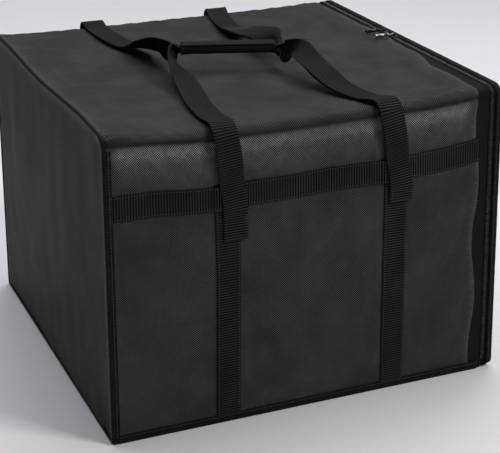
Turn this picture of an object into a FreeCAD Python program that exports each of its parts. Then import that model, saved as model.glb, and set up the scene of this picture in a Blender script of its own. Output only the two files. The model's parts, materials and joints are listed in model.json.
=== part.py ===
import FreeCAD, Part
import math
import os

import Sketcher
from FreeCAD import Placement, Rotation, Vector

# Soft insulated food carrier: a stiffened fabric box that loads from its right side (+X).
# Front is -Y, up is +Z, and the origin is the middle of the footprint on the table.
# The right side is a door: it hinges on a fabric strip along the bottom and closes with a zip
# that runs up the front, over the top and down the back. Two webbing handles meet in one grip.

DIMENSIONS = {
    "bag_width": 508.0,       # X, over the edge bindings
    "bag_depth": 494.0,       # Y, over the front and back fabric
    "bag_height": 372.0,      # Z, to the top fabric
    "edge_radius": 16.0,      # rolled top edges, outside
    "foot_radius": 4.0,       # lower corners of the side panels
    "skin": 1.5,              # outer fabric with its backing
    "foam": 11.0,
    "foil": 1.0,
    "board": 3.0,
    "binding_width": 9.0,
    "binding_proud": 1.2,
    "hem_height": 11.0,
    "webbing_width": 30.0,
    "webbing_thick": 1.8,
    "strap_spacing": 216.0,   # between the centres of two upright straps
    "strap_top": 303.0,
    "band_low": 275.0,
    "handle_foot": 234.0,
    "zip_inset": 14.0,        # centre of the zip from the right edge
    "zip_foot": 18.0,
    "coil_width": 2.2,
    "coil_gap": 1.6,
    "coil_height": 2.0,
    "tape_thick": 0.8,
    "tape_sunk": 0.3,         # tape below the fabric surface
    "tape_reach": 6.0,
    "door_tape_reach": 3.0,
    "door_foot": 2.0,
    "door_step": 7.5,         # door foam inside the door's outline
    "slider_length": 14.0,
    "slider_width": 10.0,
    "slider_plate": 1.4,
    "slider_gap": 0.3,        # plate to coil
    "post_width": 1.0,
    "lug_thick": 1.2,
    "lug_width": 3.6,
    "lug_height": 3.6,
    "eye_width": 4.0,
    "pin_radius": 0.8,
    "pin_gap": 0.05,
    "eye_radius": 1.6,
    "barrel_radius": 2.1,
    "barrel_start": 5.5,
    "pull_length": 26.0,
    "front_slider_place": 11.0,
    "rear_slider_place": 38.0,
    "grip_length": 118.0,
    "grip_depth": 15.0,
    "grip_height": 12.5,
    "grip_wall": 1.2,
    "grip_gap": 13.5,         # under the grip, above the top fabric
    "grip_place_x": -14.0,
    "grip_place_y": -20.0,
    "grip_turn": -19.0,       # degrees about Z
    "patch_thick": 0.6,
    "close_gap": 0.3,         # between pieces that move past each other
}

Z_AXIS = Vector(0, 0, 1)

doc = FreeCAD.newDocument("food_carrier")
sheet = doc.addObject("Spreadsheet::Sheet", "Sizes")
for row, (alias, value) in enumerate(DIMENSIONS.items(), start=1):
    sheet.set("A%d" % row, alias)
    sheet.set("B%d" % row, str(value))
    sheet.setAlias("B%d" % row, alias)
doc.recompute()


class Size:
    """A length: the expression that drives it and the number it comes to now."""

    def __init__(self, text, value):
        self.text = text
        self.value = value

    @staticmethod
    def of(other):
        return other if isinstance(other, Size) else Size(repr(float(other)), float(other))

    def __add__(self, other):
        other = Size.of(other)
        return Size("(%s + %s)" % (self.text, other.text), self.value + other.value)

    def __sub__(self, other):
        other = Size.of(other)
        return Size("(%s - %s)" % (self.text, other.text), self.value - other.value)

    def __mul__(self, factor):
        return Size("(%s * %s)" % (self.text, repr(float(factor))), self.value * factor)

    def __neg__(self):
        return self * -1


def size(alias):
    return Size("Sizes." + alias, float(sheet.get(alias)))


half_width = size("bag_width") * 0.5
half_depth = size("bag_depth") * 0.5
height = size("bag_height")
radius = size("edge_radius")
foot_radius = size("foot_radius")
skin = size("skin")
foam = size("foam")
foil = size("foil")
board = size("board")
proud = size("binding_proud")
webbing = size("webbing_thick")
webbing_width = size("webbing_width")
close_gap = size("close_gap")
zero = Size.of(0)

left_skin = -half_width + proud                   # outer face of the left panel
left_inside = left_skin + skin + foam + foil
cavity_half_depth = half_depth - skin - foam - foil
board_low = skin + foam
floor_top = board_low + board + foil
cavity_top = height - skin - foam - foil
zip_centre = half_width - size("zip_inset")
body_coil_low = zip_centre - size("coil_gap") * 0.5 - size("coil_width")
door_coil_low = zip_centre + size("coil_gap") * 0.5
door_coil_high = door_coil_low + size("coil_width")
wrap_end = body_coil_low - size("tape_reach")
foam_end = zip_centre - size("slider_width") * 0.5 - 0.5
door_skin_high = half_width - proud               # outer face of the door panel
door_skin_low = door_skin_high - skin
gusset_low = door_coil_high + size("door_tape_reach")
door_foam_low = door_skin_low - foam
door_inside = door_foam_low - foil
sill = door_inside - 0.4                          # where the bag's floor stops at the door
strip_start = sill - 1

SUBPARTS = []


def bind(item, name, length):
    item.setExpression(name, length.text)


def register(piece, label):
    piece.Label = label
    SUBPARTS.append(piece)
    return piece


def box(label, low, high, keep=True):
    """A flat rectangular piece between two corners."""
    piece = doc.addObject("Part::Box", label)
    for name, side in zip(("Length", "Width", "Height"), range(3)):
        bind(piece, name, high[side] - low[side])
        bind(piece, "Placement.Base." + "xyz"[side], low[side])
    return register(piece, label) if keep else piece


def body(label):
    return register(doc.addObject("PartDesign::Body", label), label)


def new_sketch(piece, role, offset=None):
    """A sketch on one of the body's own origin planes, moved along the plane's normal."""
    sketch = piece.newObject("Sketcher::SketchObject", piece.Name + "_sketch")
    plane = [feature for feature in piece.Origin.OriginFeatures if feature.Role == role][0]
    sketch.AttachmentSupport = (plane, [""])
    sketch.MapMode = "FlatFace"
    if offset is not None:
        bind(sketch, "AttachmentOffset.Base.z", offset)
    return sketch


def pin_point(sketch, edge, end, point):
    """Holds one end of an edge at a point given as two sizes from the sketch's origin."""
    for kind, length in zip(("DistanceX", "DistanceY"), point):
        index = sketch.addConstraint(Sketcher.Constraint(kind, -1, 1, edge, end, length.value))
        sketch.setExpression("Constraints[%d]" % index, length.text)


def toward(corner, other, length):
    """The point a length away from a corner, along the axis-aligned run to another corner."""
    run = [other[axis].value - corner[axis].value for axis in (0, 1)]
    axis = 0 if abs(run[0]) > abs(run[1]) else 1
    point = [corner[0], corner[1]]
    point[axis] = corner[axis] + length * math.copysign(1, run[axis])
    return point


def outline(sketch, corners):
    """Draws a closed axis-aligned outline. A corner is (u, v) or (u, v, radius)."""
    count = len(corners)
    entries, exits = [], []
    for i, corner in enumerate(corners):
        if len(corner) == 3:
            entries.append(toward(corner, corners[i - 1], corner[2]))
            exits.append(toward(corner, corners[(i + 1) % count], corner[2]))
        else:
            entries.append([corner[0], corner[1]])
            exits.append([corner[0], corner[1]])
    first = sketch.GeometryCount
    for i in range(count):
        ends = [Vector(p[0].value, p[1].value, 0) for p in (exits[i], entries[(i + 1) % count])]
        sketch.addGeometry(Part.LineSegment(*ends), False)
    for i, corner in enumerate(corners):
        before, after = first + (i - 1) % count, first + i
        pin_point(sketch, after, 1, exits[i])
        if len(corner) == 2:
            sketch.addConstraint(Sketcher.Constraint("Coincident", before, 2, after, 1))
            continue
        pin_point(sketch, before, 2, entries[i])
        round_corner(sketch, before, after, entries[i], exits[i], corner)


def round_corner(sketch, before, after, entry, leave, corner):
    """Joins two runs with a quarter circle."""
    points = [Vector(p[0].value, p[1].value, 0) for p in (entry, leave, corner)]
    centre = points[0] + points[1] - points[2]
    angles = [math.atan2((p - centre).y, (p - centre).x) for p in points[:2]]
    turn = (points[2] - points[0]).cross(points[1] - points[2]).z
    start, end = angles if turn > 0 else (angles[1], angles[0])
    if end < start:
        end += 2 * math.pi
    circle = Part.Circle(centre, Z_AXIS, corner[2].value)
    arc = sketch.addGeometry(Part.ArcOfCircle(circle, start, end), False)
    first_end, second_end = (1, 2) if turn > 0 else (2, 1)
    sketch.addConstraint(Sketcher.Constraint("Coincident", before, 2, arc, first_end))
    sketch.addConstraint(Sketcher.Constraint("Coincident", after, 1, arc, second_end))
    index = sketch.addConstraint(Sketcher.Constraint("Radius", arc, corner[2].value))
    sketch.setExpression("Constraints[%d]" % index, corner[2].text)


def circle(sketch, centre, length):
    """Draws a full circle about a point given as two sizes."""
    place = Vector(centre[0].value, centre[1].value, 0)
    edge = sketch.addGeometry(Part.Circle(place, Z_AXIS, length.value), False)
    pin_point(sketch, edge, 3, centre)
    index = sketch.addConstraint(Sketcher.Constraint("Radius", edge, length.value))
    sketch.setExpression("Constraints[%d]" % index, length.text)


def pad(piece, sketch, length):
    feature = piece.newObject("PartDesign::Pad", piece.Name + "_pad")
    feature.Profile = sketch
    bind(feature, "Length", length)
    piece.Tip = feature
    return feature


def extruded(label, role, loops, low, length):
    """A body padded from one sketch of closed outlines."""
    piece = body(label)
    sketch = new_sketch(piece, role, low)
    for corners in loops:
        outline(sketch, corners)
    pad(piece, sketch, length)
    return piece


def plate_loop(half, low, high, top_radius, low_radius):
    """A side panel's outline, seen along X: rounded above and tighter below."""
    return [(-half, low, low_radius), (half, low, low_radius), (half, high, top_radius),
            (-half, high, top_radius)]


def arch_loop(half, low, high, turn, thick):
    """A strip that goes up the front, over the top and down the back, seen along X."""
    inner = half - thick
    return [(-half, low), (-inner, low), (-inner, high - thick, turn - thick),
            (inner, high - thick, turn - thick), (inner, low), (half, low),
            (half, high, turn), (-half, high, turn)]


def arch(label, low, high, half, foot, top, turn, thick):
    return extruded(label, "YZ_Plane", [arch_loop(half, foot, top, turn, thick)], low, high - low)


def edge_binding(label, outer_face, inner_end, foot):
    """Binding tape folded over the edge of a side panel: a flat ring with a turned wall."""
    half = half_depth + proud
    top = height + proud
    wide = size("binding_width")
    window = plate_loop(half_depth - wide, foot + wide, height - wide, radius - wide, foot_radius)
    rim = plate_loop(half, foot, top, radius + proud, foot_radius)
    outward = math.copysign(1, outer_face.value)
    ring_low = outer_face - proud if outward > 0 else outer_face
    wall_low = inner_end if outward > 0 else outer_face + proud
    wall_high = outer_face - proud if outward > 0 else inner_end
    piece = extruded(label, "YZ_Plane", [rim, window], ring_low, proud)
    wall = new_sketch(piece, "YZ_Plane", wall_low)
    outline(wall, arch_loop(half, foot + foot_radius, top, radius + proud, proud))
    pad(piece, wall, wall_high - wall_low)


def shell_and_lining():
    """Outer fabric, foam, base board and foil lining of the bag itself."""
    skin_end = left_skin + skin
    foam_start = skin_end + foam
    arch("wrap_panel", skin_end, wrap_end, half_depth, zero, height, radius, skin)
    left_edge = plate_loop(half_depth, zero, height, radius, foot_radius)
    extruded("left_side_panel", "YZ_Plane", [left_edge], left_skin, skin)
    inside = half_depth - skin
    box("bottom_panel", (skin_end, -inside, zero), (strip_start, inside, skin))
    box("door_hinge_strip", (strip_start, -half_depth + radius, zero),
        (half_width - 0.1, half_depth - radius, skin))

    slack = skin + 0.3
    left_core = plate_loop(half_depth - slack, skin, height - slack, radius - slack, foot_radius)
    extruded("left_foam", "YZ_Plane", [left_core], skin_end, foam)
    box("bottom_foam", (foam_start, -inside, skin), (sill, inside, board_low))
    box("top_foam", (foam_start, -half_depth + radius, height - skin - foam),
        (foam_end, half_depth - radius, height - skin))
    board_half = cavity_half_depth - 1.5
    box("base_board", (left_inside + 0.5, -board_half, board_low),
        (sill - 1, board_half, board_low + board))

    box("bottom_liner", (left_inside, -cavity_half_depth, floor_top - foil),
        (sill, cavity_half_depth, floor_top))
    box("top_liner", (left_inside, -cavity_half_depth, cavity_top),
        (foam_end, cavity_half_depth, cavity_top + foil))
    box("left_liner", (left_inside - foil, -cavity_half_depth, floor_top),
        (left_inside, cavity_half_depth, cavity_top))

    wall_top = height - radius
    lining_top = cavity_top + foil
    walls = (("front", -inside, -inside + foam), ("back", inside - foam, inside))
    linings = (("front", -cavity_half_depth - foil, -cavity_half_depth),
               ("back", cavity_half_depth, cavity_half_depth + foil))
    for side, low, high in walls:
        box(side + "_foam", (foam_start, low, board_low), (foam_end, high, wall_top))
    for side, low, high in linings:
        box(side + "_liner", (foam_start, low, board_low), (foam_end, high, lining_top))


def bindings():
    """Seam bindings of the left side, and hems along the bottom of the front and back."""
    seam_inner = left_skin + size("binding_width")
    edge_binding("left_seam_binding", -half_width, seam_inner, zero)
    hem_top = size("hem_height")
    box("front_bottom_binding", (seam_inner, -half_depth - proud, zero),
        (wrap_end, -half_depth, hem_top))
    box("back_bottom_binding", (seam_inner, half_depth, zero),
        (wrap_end, half_depth + proud, hem_top))


def upright_straps():
    """Two webbing straps sewn up the front and two up the back."""
    for end, low, high in (("front", -half_depth - webbing, -half_depth),
                           ("back", half_depth, half_depth + webbing)):
        for side, sign in (("left", -1), ("right", 1)):
            centre = size("strap_spacing") * (0.5 * sign)
            box("%s_%s_upright_strap" % (end, side),
                (centre - webbing_width * 0.5, low, size("hem_height")),
                (centre + webbing_width * 0.5, high, size("strap_top")))


def cross_band(label, sign):
    """Webbing right across one face, stepping over the two upright straps."""
    face = half_depth * sign
    layer = webbing * sign
    start = left_skin + size("binding_width")
    under, over = [(start, face)], [(start, face + layer)]
    for side in (-1, 1):
        centre = size("strap_spacing") * (0.5 * side)
        low = centre - webbing_width * 0.5
        high = centre + webbing_width * 0.5
        under += [(low, face), (low, face + layer), (high, face + layer), (high, face)]
        low = low - webbing
        high = high + webbing
        over += [(low, face + layer), (low, face + layer * 2), (high, face + layer * 2),
                 (high, face + layer)]
    corners = under + [(wrap_end, face), (wrap_end, face + layer)] + over[:0:-1] + over[:1]
    extruded(label, "XY_Plane", [corners], size("band_low"), webbing_width)


def zip_halves():
    """The zip's two tapes and nylon coils, and the stops at its two lower ends."""
    sunk = size("tape_sunk")
    foot = size("zip_foot")
    tape = (half_depth - sunk, foot, height - sunk, radius - sunk, size("tape_thick"))
    lift = size("coil_height") * 0.5 - size("tape_thick") * 0.5 - sunk
    coil = (half_depth + lift, foot, height + lift, radius + lift, size("coil_height"))
    body_coil_high = body_coil_low + size("coil_width")
    arch("body_zip_tape", wrap_end, body_coil_low, *tape)
    arch("body_zip_coil", body_coil_low, body_coil_high, *coil)
    arch("door_zip_tape", door_coil_high, gusset_low, *tape)
    arch("door_zip_coil", door_coil_low, door_coil_high, *coil)
    stops = []
    for label, low, high in (
            ("front_stop", -half_depth - lift, -half_depth - lift + size("coil_height")),
            ("back_stop", half_depth + lift - size("coil_height"), half_depth + lift)):
        stops.append(box(label, (body_coil_low, low, foot - 4), (body_coil_high, high, foot), False))
    group = register(doc.addObject("Part::MultiFuse", "zip_end_stops"), "zip_end_stops")
    group.Shapes = stops


def door():
    """The zipped right side: fabric, foam and foil with a bound edge."""
    foot = size("door_foot")
    step = size("door_step")
    edge = plate_loop(half_depth, foot, height, radius, foot_radius)
    extruded("door_panel", "YZ_Plane", [edge], door_skin_low, skin)
    arch("door_gusset", gusset_low, door_skin_low, half_depth, foot + foot_radius, height, radius, skin)
    low = (-half_depth + step, foot + step, height - step)
    box("door_foam", (door_foam_low, low[0], low[1]), (door_skin_low, -low[0], low[2]))
    box("door_liner", (door_inside, low[0], low[1]), (door_foam_low, -low[0], low[2]))
    edge_binding("door_binding", half_width, gusset_low - 0.5, foot)


def zip_frame(place):
    """Placement of a slider: on the zip's centre line, at the middle of the coil's height."""
    middle = height - size("tape_sunk") - size("tape_thick") * 0.5
    return Placement(Vector(zip_centre.value, place.value, middle.value), Rotation())


def place_on_zip(piece, place):
    piece.Placement = zip_frame(place)
    bind(piece, "Placement.Base.x", zip_centre)
    bind(piece, "Placement.Base.y", place)
    bind(piece, "Placement.Base.z", height - size("tape_sunk") - size("tape_thick") * 0.5)


def slider(label, place):
    """Cast slider: two plates joined by a post between the coils, and lugs with a pull pin."""
    inner = size("coil_height") * 0.5 + size("slider_gap")
    outer = inner + size("slider_plate")
    wide = size("slider_width") * 0.5
    post = size("post_width") * 0.5
    corner = Size.of(0.6)
    profile = [(-wide, inner), (-wide, outer, corner), (wide, outer, corner), (wide, inner),
               (post, inner), (post, -inner), (wide, -inner), (wide, -outer, corner),
               (-wide, -outer, corner), (-wide, -inner), (-post, -inner), (-post, inner)]
    half = size("slider_length") * 0.5
    piece = extruded(label, "XZ_Plane", [profile], -half, size("slider_length"))

    lug_half = size("lug_width") * 0.5
    lug_top = outer + size("lug_height")
    eye_half = size("eye_width") * 0.5 + 0.2
    for offset in (eye_half, -eye_half - size("lug_thick")):
        lug = new_sketch(piece, "XZ_Plane", offset)
        outline(lug, [(-lug_half, outer - 0.2), (lug_half, outer - 0.2),
                      (lug_half, lug_top, lug_half - 0.1), (-lug_half, lug_top, lug_half - 0.1)])
        pad(piece, lug, size("lug_thick"))
    pin = new_sketch(piece, "XZ_Plane", -eye_half - 0.5)
    circle(pin, (zero, pin_height()), size("pin_radius"))
    pad(piece, pin, eye_half * 2 + 1)
    place_on_zip(piece, place)


def pin_height():
    """Height of the pull's pin over the middle of the coil."""
    plate_top = size("coil_height") * 0.5 + size("slider_gap") + size("slider_plate")
    return plate_top + size("lug_height") - size("lug_width") * 0.5


def pull(label, place):
    """Barrel pull: an eye on the slider's pin, a flat neck and a round bar, lying towards -X."""
    piece = body(label)
    level = pin_height()
    eye_half = size("eye_width") * 0.5
    eye = new_sketch(piece, "XZ_Plane", -eye_half)
    circle(eye, (zero, level), size("eye_radius"))
    circle(eye, (zero, level), size("pin_radius") + size("pin_gap"))
    pad(piece, eye, size("eye_width"))
    neck = new_sketch(piece, "XZ_Plane", -eye_half * 0.7)
    outline(neck, [(-size("barrel_start") - 1, level - 0.7), (Size.of(-1.2), level - 0.7),
                   (Size.of(-1.2), level + 0.7), (-size("barrel_start") - 1, level + 0.7)])
    pad(piece, neck, eye_half * 1.4)
    barrel = new_sketch(piece, "YZ_Plane", -size("pull_length"))
    circle(barrel, (zero, level), size("barrel_radius"))
    pad(piece, barrel, size("pull_length") - size("barrel_start"))
    place_on_zip(piece, place)


def grip_frame():
    """Placement of the grip: its local X runs along the grip and its underside is at z = 0."""
    place = Vector(size("grip_place_x").value, size("grip_place_y").value,
                   (height + size("grip_gap")).value)
    return Placement(place, Rotation(Z_AXIS, size("grip_turn").value))


def grip():
    """Wrap sleeve round both handles, its hook-and-loop patches and its closing flap."""
    half_long = size("grip_length") * 0.5
    half_deep = size("grip_depth") * 0.5
    tall = size("grip_height")
    wall = size("grip_wall")
    patch = size("patch_thick")
    rim = [(-half_deep, zero, Size.of(3)), (half_deep, zero, Size.of(3)),
           (half_deep, tall, Size.of(1.5)), (-half_deep, tall, Size.of(1.5))]
    bore = [(-half_deep + wall, wall, Size.of(1.8)), (half_deep - wall, wall, Size.of(1.8)),
            (half_deep - wall, tall - wall, Size.of(0.5)), (-half_deep + wall, tall - wall, Size.of(0.5))]
    sleeve = extruded("grip_sleeve", "YZ_Plane", [rim, bore], -half_long, size("grip_length"))

    def slab(label, half_x, half_y, low, thick):
        rectangle = [(-half_x, -half_y), (half_x, -half_y), (half_x, half_y), (-half_x, half_y)]
        return extruded(label, "XY_Plane", [rectangle], low, thick)

    patch_half = half_deep - 2
    hook_low = tall + patch + close_gap
    loop = slab("grip_loop_patch", half_long - 4, patch_half, tall, patch)
    hook = slab("grip_hook_patch", half_long - 4, patch_half, hook_low, patch)
    flap = slab("grip_flap", half_long, half_deep, hook_low + patch, wall)
    for piece in (sleeve, loop, hook, flap):
        piece.Placement = grip_frame()


def ribbon(stations):
    """Webbing as a solid through cross-sections. A station is its centre, the direction of its
    width, its width and its thickness; the strap's own direction comes from its neighbours."""
    sections = []
    for i, (centre, across, wide, thick) in enumerate(stations):
        before = stations[max(i - 1, 0)][0]
        after = stations[min(i + 1, len(stations) - 1)][0]
        along = (after - before).normalize()
        across = (across - along * across.dot(along)).normalize()
        through = along.cross(across)
        ends = [across * (a * wide / 2) + through * (b * thick / 2)
                for a, b in ((-1, -1), (1, -1), (1, 1), (-1, 1))]
        sections.append(Part.makePolygon([centre + end for end in ends] + [centre + ends[0]]))
    return Part.makeLoft(sections, True, True)


def leg(foot_x, edge_x, top_route, sign):
    """One handle leg from its sewn end, up a face and over the top edge, as stations.

    sign is -1 on the front and 1 on the back. top_route lists (x, y, rise, roll) over the top:
    rise is above the top fabric, and roll turns the width up from flat, in degrees.
    """
    face = half_depth.value
    layer = webbing.value
    low = size("handle_foot").value
    band = size("band_low").value
    top = height.value
    gap = 0.3
    up_face = (
        (low, 1.5 * layer + gap),
        (band - 12, 1.5 * layer + gap),
        (band - 5, 2.5 * layer + gap),
        (band + webbing_width.value + 2, 2.5 * layer + gap),
        (top - 48, 8.5),
        (top - 18, 10.5),
        (top - 3, 8.0),
    )
    stations = []
    for z, out in up_face:
        share = max(z - band, 0) / (top - band)
        x = foot_x + (edge_x - foot_x) * share
        stations.append((Vector(x, sign * (face + out), z), 0.0))
    stations.append((Vector(edge_x, sign * (face - 3), top + 5.5), 0.0))
    for x, y, rise, roll in top_route:
        stations.append((Vector(x, y, top + rise), roll))
    return stations


def handle(label, legs, sign):
    """One handle: up one face on the left, through the grip and down the same face on the right.
    The webbing lies flat over the bag, turns on edge beside the grip and is gathered inside it."""
    wide = webbing_width.value
    thick = webbing.value
    left, right = legs
    frame = grip_frame()
    half_long = size("grip_length").value / 2
    level = size("grip_height").value / 2
    inside = sign * (size("grip_depth").value / 4 - size("grip_wall").value / 2)
    stations = []
    for centre, roll in left:
        lean = math.radians(roll)
        across = Vector(math.cos(lean), 0, -math.sin(lean))
        stations.append((centre, across, wide * gather(roll), thick))
    for along in (-half_long - 7, -half_long - 0.5, half_long + 0.5, half_long + 7):
        packed = abs(along) < half_long + 1
        section = (6.2, 4.6) if packed else (15.0, 2.4)
        stations.append((frame.multVec(Vector(along, inside, level)), -Z_AXIS) + section)
    for centre, roll in reversed(right):
        lean = math.radians(roll)
        across = Vector(-math.cos(lean), 0, -math.sin(lean))
        stations.append((centre, across, wide * gather(roll), thick))
    piece = register(doc.addObject("Part::Feature", label), label)
    piece.Shape = ribbon(stations)


def gather(roll):
    """Share of the webbing's width left as it turns on edge and is drawn into the grip."""
    return 1 - 0.35 * roll / 90


def handles():
    front_left = leg(-99, -112, [(-111, -210, 3, 0), (-108, -165, 5, 0), (-100, -115, 7, 0),
                                 (-94, -75, 10, 8), (-91, -46, 15, 30), (-89, -22, 19, 65),
                                 (-82, -6, 19, 85)], -1)
    front_right = leg(114, 97, [(86, -212, 3, 0), (71, -176, 7, 0), (60, -142, 14, 5),
                                (56, -108, 22, 15), (58, -78, 25, 40), (57, -58, 21, 70),
                                (51, -46, 18, 85)], -1)
    back_left = leg(-99, -115, [(-116, 215, 3, 0), (-112, 162, 5, 0), (-102, 120, 5, 0),
                                (-95, 85, 9, 10), (-92, 52, 16, 30), (-89, 24, 21, 65),
                                (-80, 8, 19, 85)], 1)
    back_right = leg(108, 72, [(66, 215, 3, 0), (58, 165, 5, 0), (54, 120, 9, 0),
                               (52, 75, 14, 10), (54, 28, 20, 30), (57, -4, 22, 65),
                               (52, -26, 19, 85)], 1)
    handle("front_handle_strap", (front_left, front_right), -1)
    handle("back_handle_strap", (back_left, back_right), 1)


def check(items):
    """Stops if anything in the document failed or a sub-part isn't sound."""
    for item in items:
        if "Invalid" in item.State or "Error" in item.State:
            raise RuntimeError("%s failed to build" % item.Label)
    for piece in SUBPARTS:
        shape = piece.Shape
        if shape.isNull() or not shape.isValid() or shape.Volume <= 0:
            raise RuntimeError("%s isn't a sound solid" % piece.Label)


shell_and_lining()
bindings()
upright_straps()
cross_band("front_band", -1)
cross_band("back_band", 1)
zip_halves()
door()
for end_name in ("front", "rear"):
    slider_place = size(end_name + "_slider_place")
    slider(end_name + "_slider", slider_place)
    pull(end_name + "_pull", slider_place)
grip()
handles()

doc.recompute()
check(doc.Objects)
os.makedirs("parts", exist_ok=True)
for subpart in SUBPARTS:
    subpart.Shape.exportStep("parts/%s.step" % subpart.Label)
    bounds = subpart.Shape.BoundBox
    print("%-26s %d solid(s) %9.1f mm3  x %7.1f %7.1f  y %7.1f %7.1f  z %7.1f %7.1f" % (
        subpart.Label, len(subpart.Shape.Solids), subpart.Shape.Volume, bounds.XMin, bounds.XMax,
        bounds.YMin, bounds.YMax, bounds.ZMin, bounds.ZMax))
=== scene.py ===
import json
import math

import bmesh
import bpy
import numpy as np
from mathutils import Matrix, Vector, noise


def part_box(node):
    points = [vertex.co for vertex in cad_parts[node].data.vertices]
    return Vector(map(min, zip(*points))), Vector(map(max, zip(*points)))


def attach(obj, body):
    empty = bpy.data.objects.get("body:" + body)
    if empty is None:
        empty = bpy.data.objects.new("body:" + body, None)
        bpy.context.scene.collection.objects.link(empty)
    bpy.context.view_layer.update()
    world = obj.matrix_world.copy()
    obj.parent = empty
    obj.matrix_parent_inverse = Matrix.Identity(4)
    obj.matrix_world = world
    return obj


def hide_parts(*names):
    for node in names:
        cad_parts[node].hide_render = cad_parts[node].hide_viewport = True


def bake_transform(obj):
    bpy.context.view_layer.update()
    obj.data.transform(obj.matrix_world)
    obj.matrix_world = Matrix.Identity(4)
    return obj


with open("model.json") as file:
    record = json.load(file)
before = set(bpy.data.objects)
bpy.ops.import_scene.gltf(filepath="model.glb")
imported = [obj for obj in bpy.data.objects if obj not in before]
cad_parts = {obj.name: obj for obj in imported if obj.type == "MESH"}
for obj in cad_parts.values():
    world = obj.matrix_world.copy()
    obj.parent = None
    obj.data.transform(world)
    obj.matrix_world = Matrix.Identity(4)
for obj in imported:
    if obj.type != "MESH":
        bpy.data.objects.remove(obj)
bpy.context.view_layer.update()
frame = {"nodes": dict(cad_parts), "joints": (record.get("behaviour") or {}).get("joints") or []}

# Lengths are in metres. Front is -Y, the zipped door is at +X, and the table is z = 0.
MM = 0.001

# ---------------------------------------------------------------- places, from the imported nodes

wrap_low, wrap_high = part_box("wrap_panel")
strap_low, strap_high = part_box("front_left_upright_strap")
band_low, band_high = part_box("front_band")
_, hem_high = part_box("front_bottom_binding")
_, seam_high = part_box("left_seam_binding")
rim_low, rim_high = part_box("door_binding")
sleeve_low, sleeve_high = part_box("grip_sleeve")

TOP = wrap_high.z
HALF_DEPTH = wrap_high.y
HALF_WIDTH = rim_high.x
WRAP_LEFT = wrap_low.x
WRAP_RIGHT = wrap_high.x
LEFT_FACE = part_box("left_side_panel")[0].x
DOOR_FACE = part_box("door_panel")[1].x
PROUD = seam_high.y - HALF_DEPTH            # how far the bindings stand out
WEB_WIDTH = strap_high.x - strap_low.x
WEB_THICK = strap_high.y - strap_low.y
STRAP_X = (strap_low.x + strap_high.x) / 2  # the left upright strap; the right one mirrors it
STRAP_FOOT, STRAP_TOP = strap_low.z, strap_high.z
BAND_LOW, BAND_HIGH = band_low.z, band_high.z
HEM_TOP = hem_high.z
SEAM_INNER = seam_high.x
RIM_INNER = rim_low.x
DOOR_FOOT = rim_low.z

# ---------------------------------------------------------------- sizes of the soft shapes

ROLL = 16 * MM           # outside radius of the rolled top edges
FOOT_TURN = 4 * MM
TOE = 11 * MM            # the door's rounded bottom edge
CLOTH = 0.9 * MM         # thickness of the outer fabric
TAPER = 5 * MM           # how far each side leans in at the top
SAG = 7 * MM             # the top's dip in its middle
BULGE = 3 * MM           # the faces' swell
LEFT_BULGE = 4 * MM
SLACK = 0.004            # spare cloth in the outer panels, as a share
FOAM_SET_BACK = 2.5 * MM  # the foam under the fabric's outer face
RIB = 3.3 * MM           # pitch of the webbing's ribs
STITCH = 3.8 * MM        # one stitch and its gap
WALL = TOP - ROLL
QUARTER = ROLL * math.pi / 2
ROOF = 2 * (HALF_DEPTH - ROLL)
LENGTH = 2 * WALL + 2 * QUARTER + ROOF      # the wrap, from the front's foot over to the back's
CREASE_TURN = 0.24                          # the crease's share of the way round the front's roll
CREASE = WALL + CREASE_TURN * QUARTER       # its place along the wrap
CREASE_DEPTH = 2.4 * MM
LEDGE = 3 * MM           # the front roll's swelling beside the crease
BAND_CLIMB = 8 * MM      # the cross bands rise by this towards the door
FOOT_RISE = 15 * MM      # the handles' right ends are sewn this much higher
LEFT_TAPE = 3.2 * MM     # how far each binding reaches over its panel
DOOR_TAPE = 9 * MM
PANEL_CELL = 4.5 * MM


# ---------------------------------------------------------------- shape helpers

def smooth(t):
    """0 to 1 as t goes from 0 to 1, level at both ends."""
    t = np.clip(t, 0.0, 1.0)
    return t * t * (3 - 2 * t)


def bell(t):
    """1 where t is 0, and soon nothing on either side."""
    return np.exp(-np.square(t))


def length_along(points):
    """The length so far at each point of a line."""
    return np.concatenate([[0], np.cumsum(np.linalg.norm(np.diff(points, axis=0), axis=1))])


def line_at(at, length, points):
    """A line's points at the given lengths along it."""
    return np.stack([np.interp(at, length, points[:, i]) for i in range(points.shape[1])], -1)


def round_off(a, b):
    """Turns the corner of a unit square into a quarter circle; a and b run from 0 to 1."""
    a, b = np.clip(a, 0, 1), np.clip(b, 0, 1)
    return a * np.sqrt(1 - b * b / 2), b * np.sqrt(1 - a * a / 2)


def hills(points, size, seed):
    """Smooth noise, about -1 to 1, at each point. The seed picks another pattern."""
    shift = Vector((seed * 7.31, seed * 3.17, seed * 5.73))
    flat = np.asarray(points, float).reshape(-1, 3)
    found = [noise.noise(Vector(p) / size + shift) for p in flat]
    return np.array(found).reshape(np.shape(points)[:-1])


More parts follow.
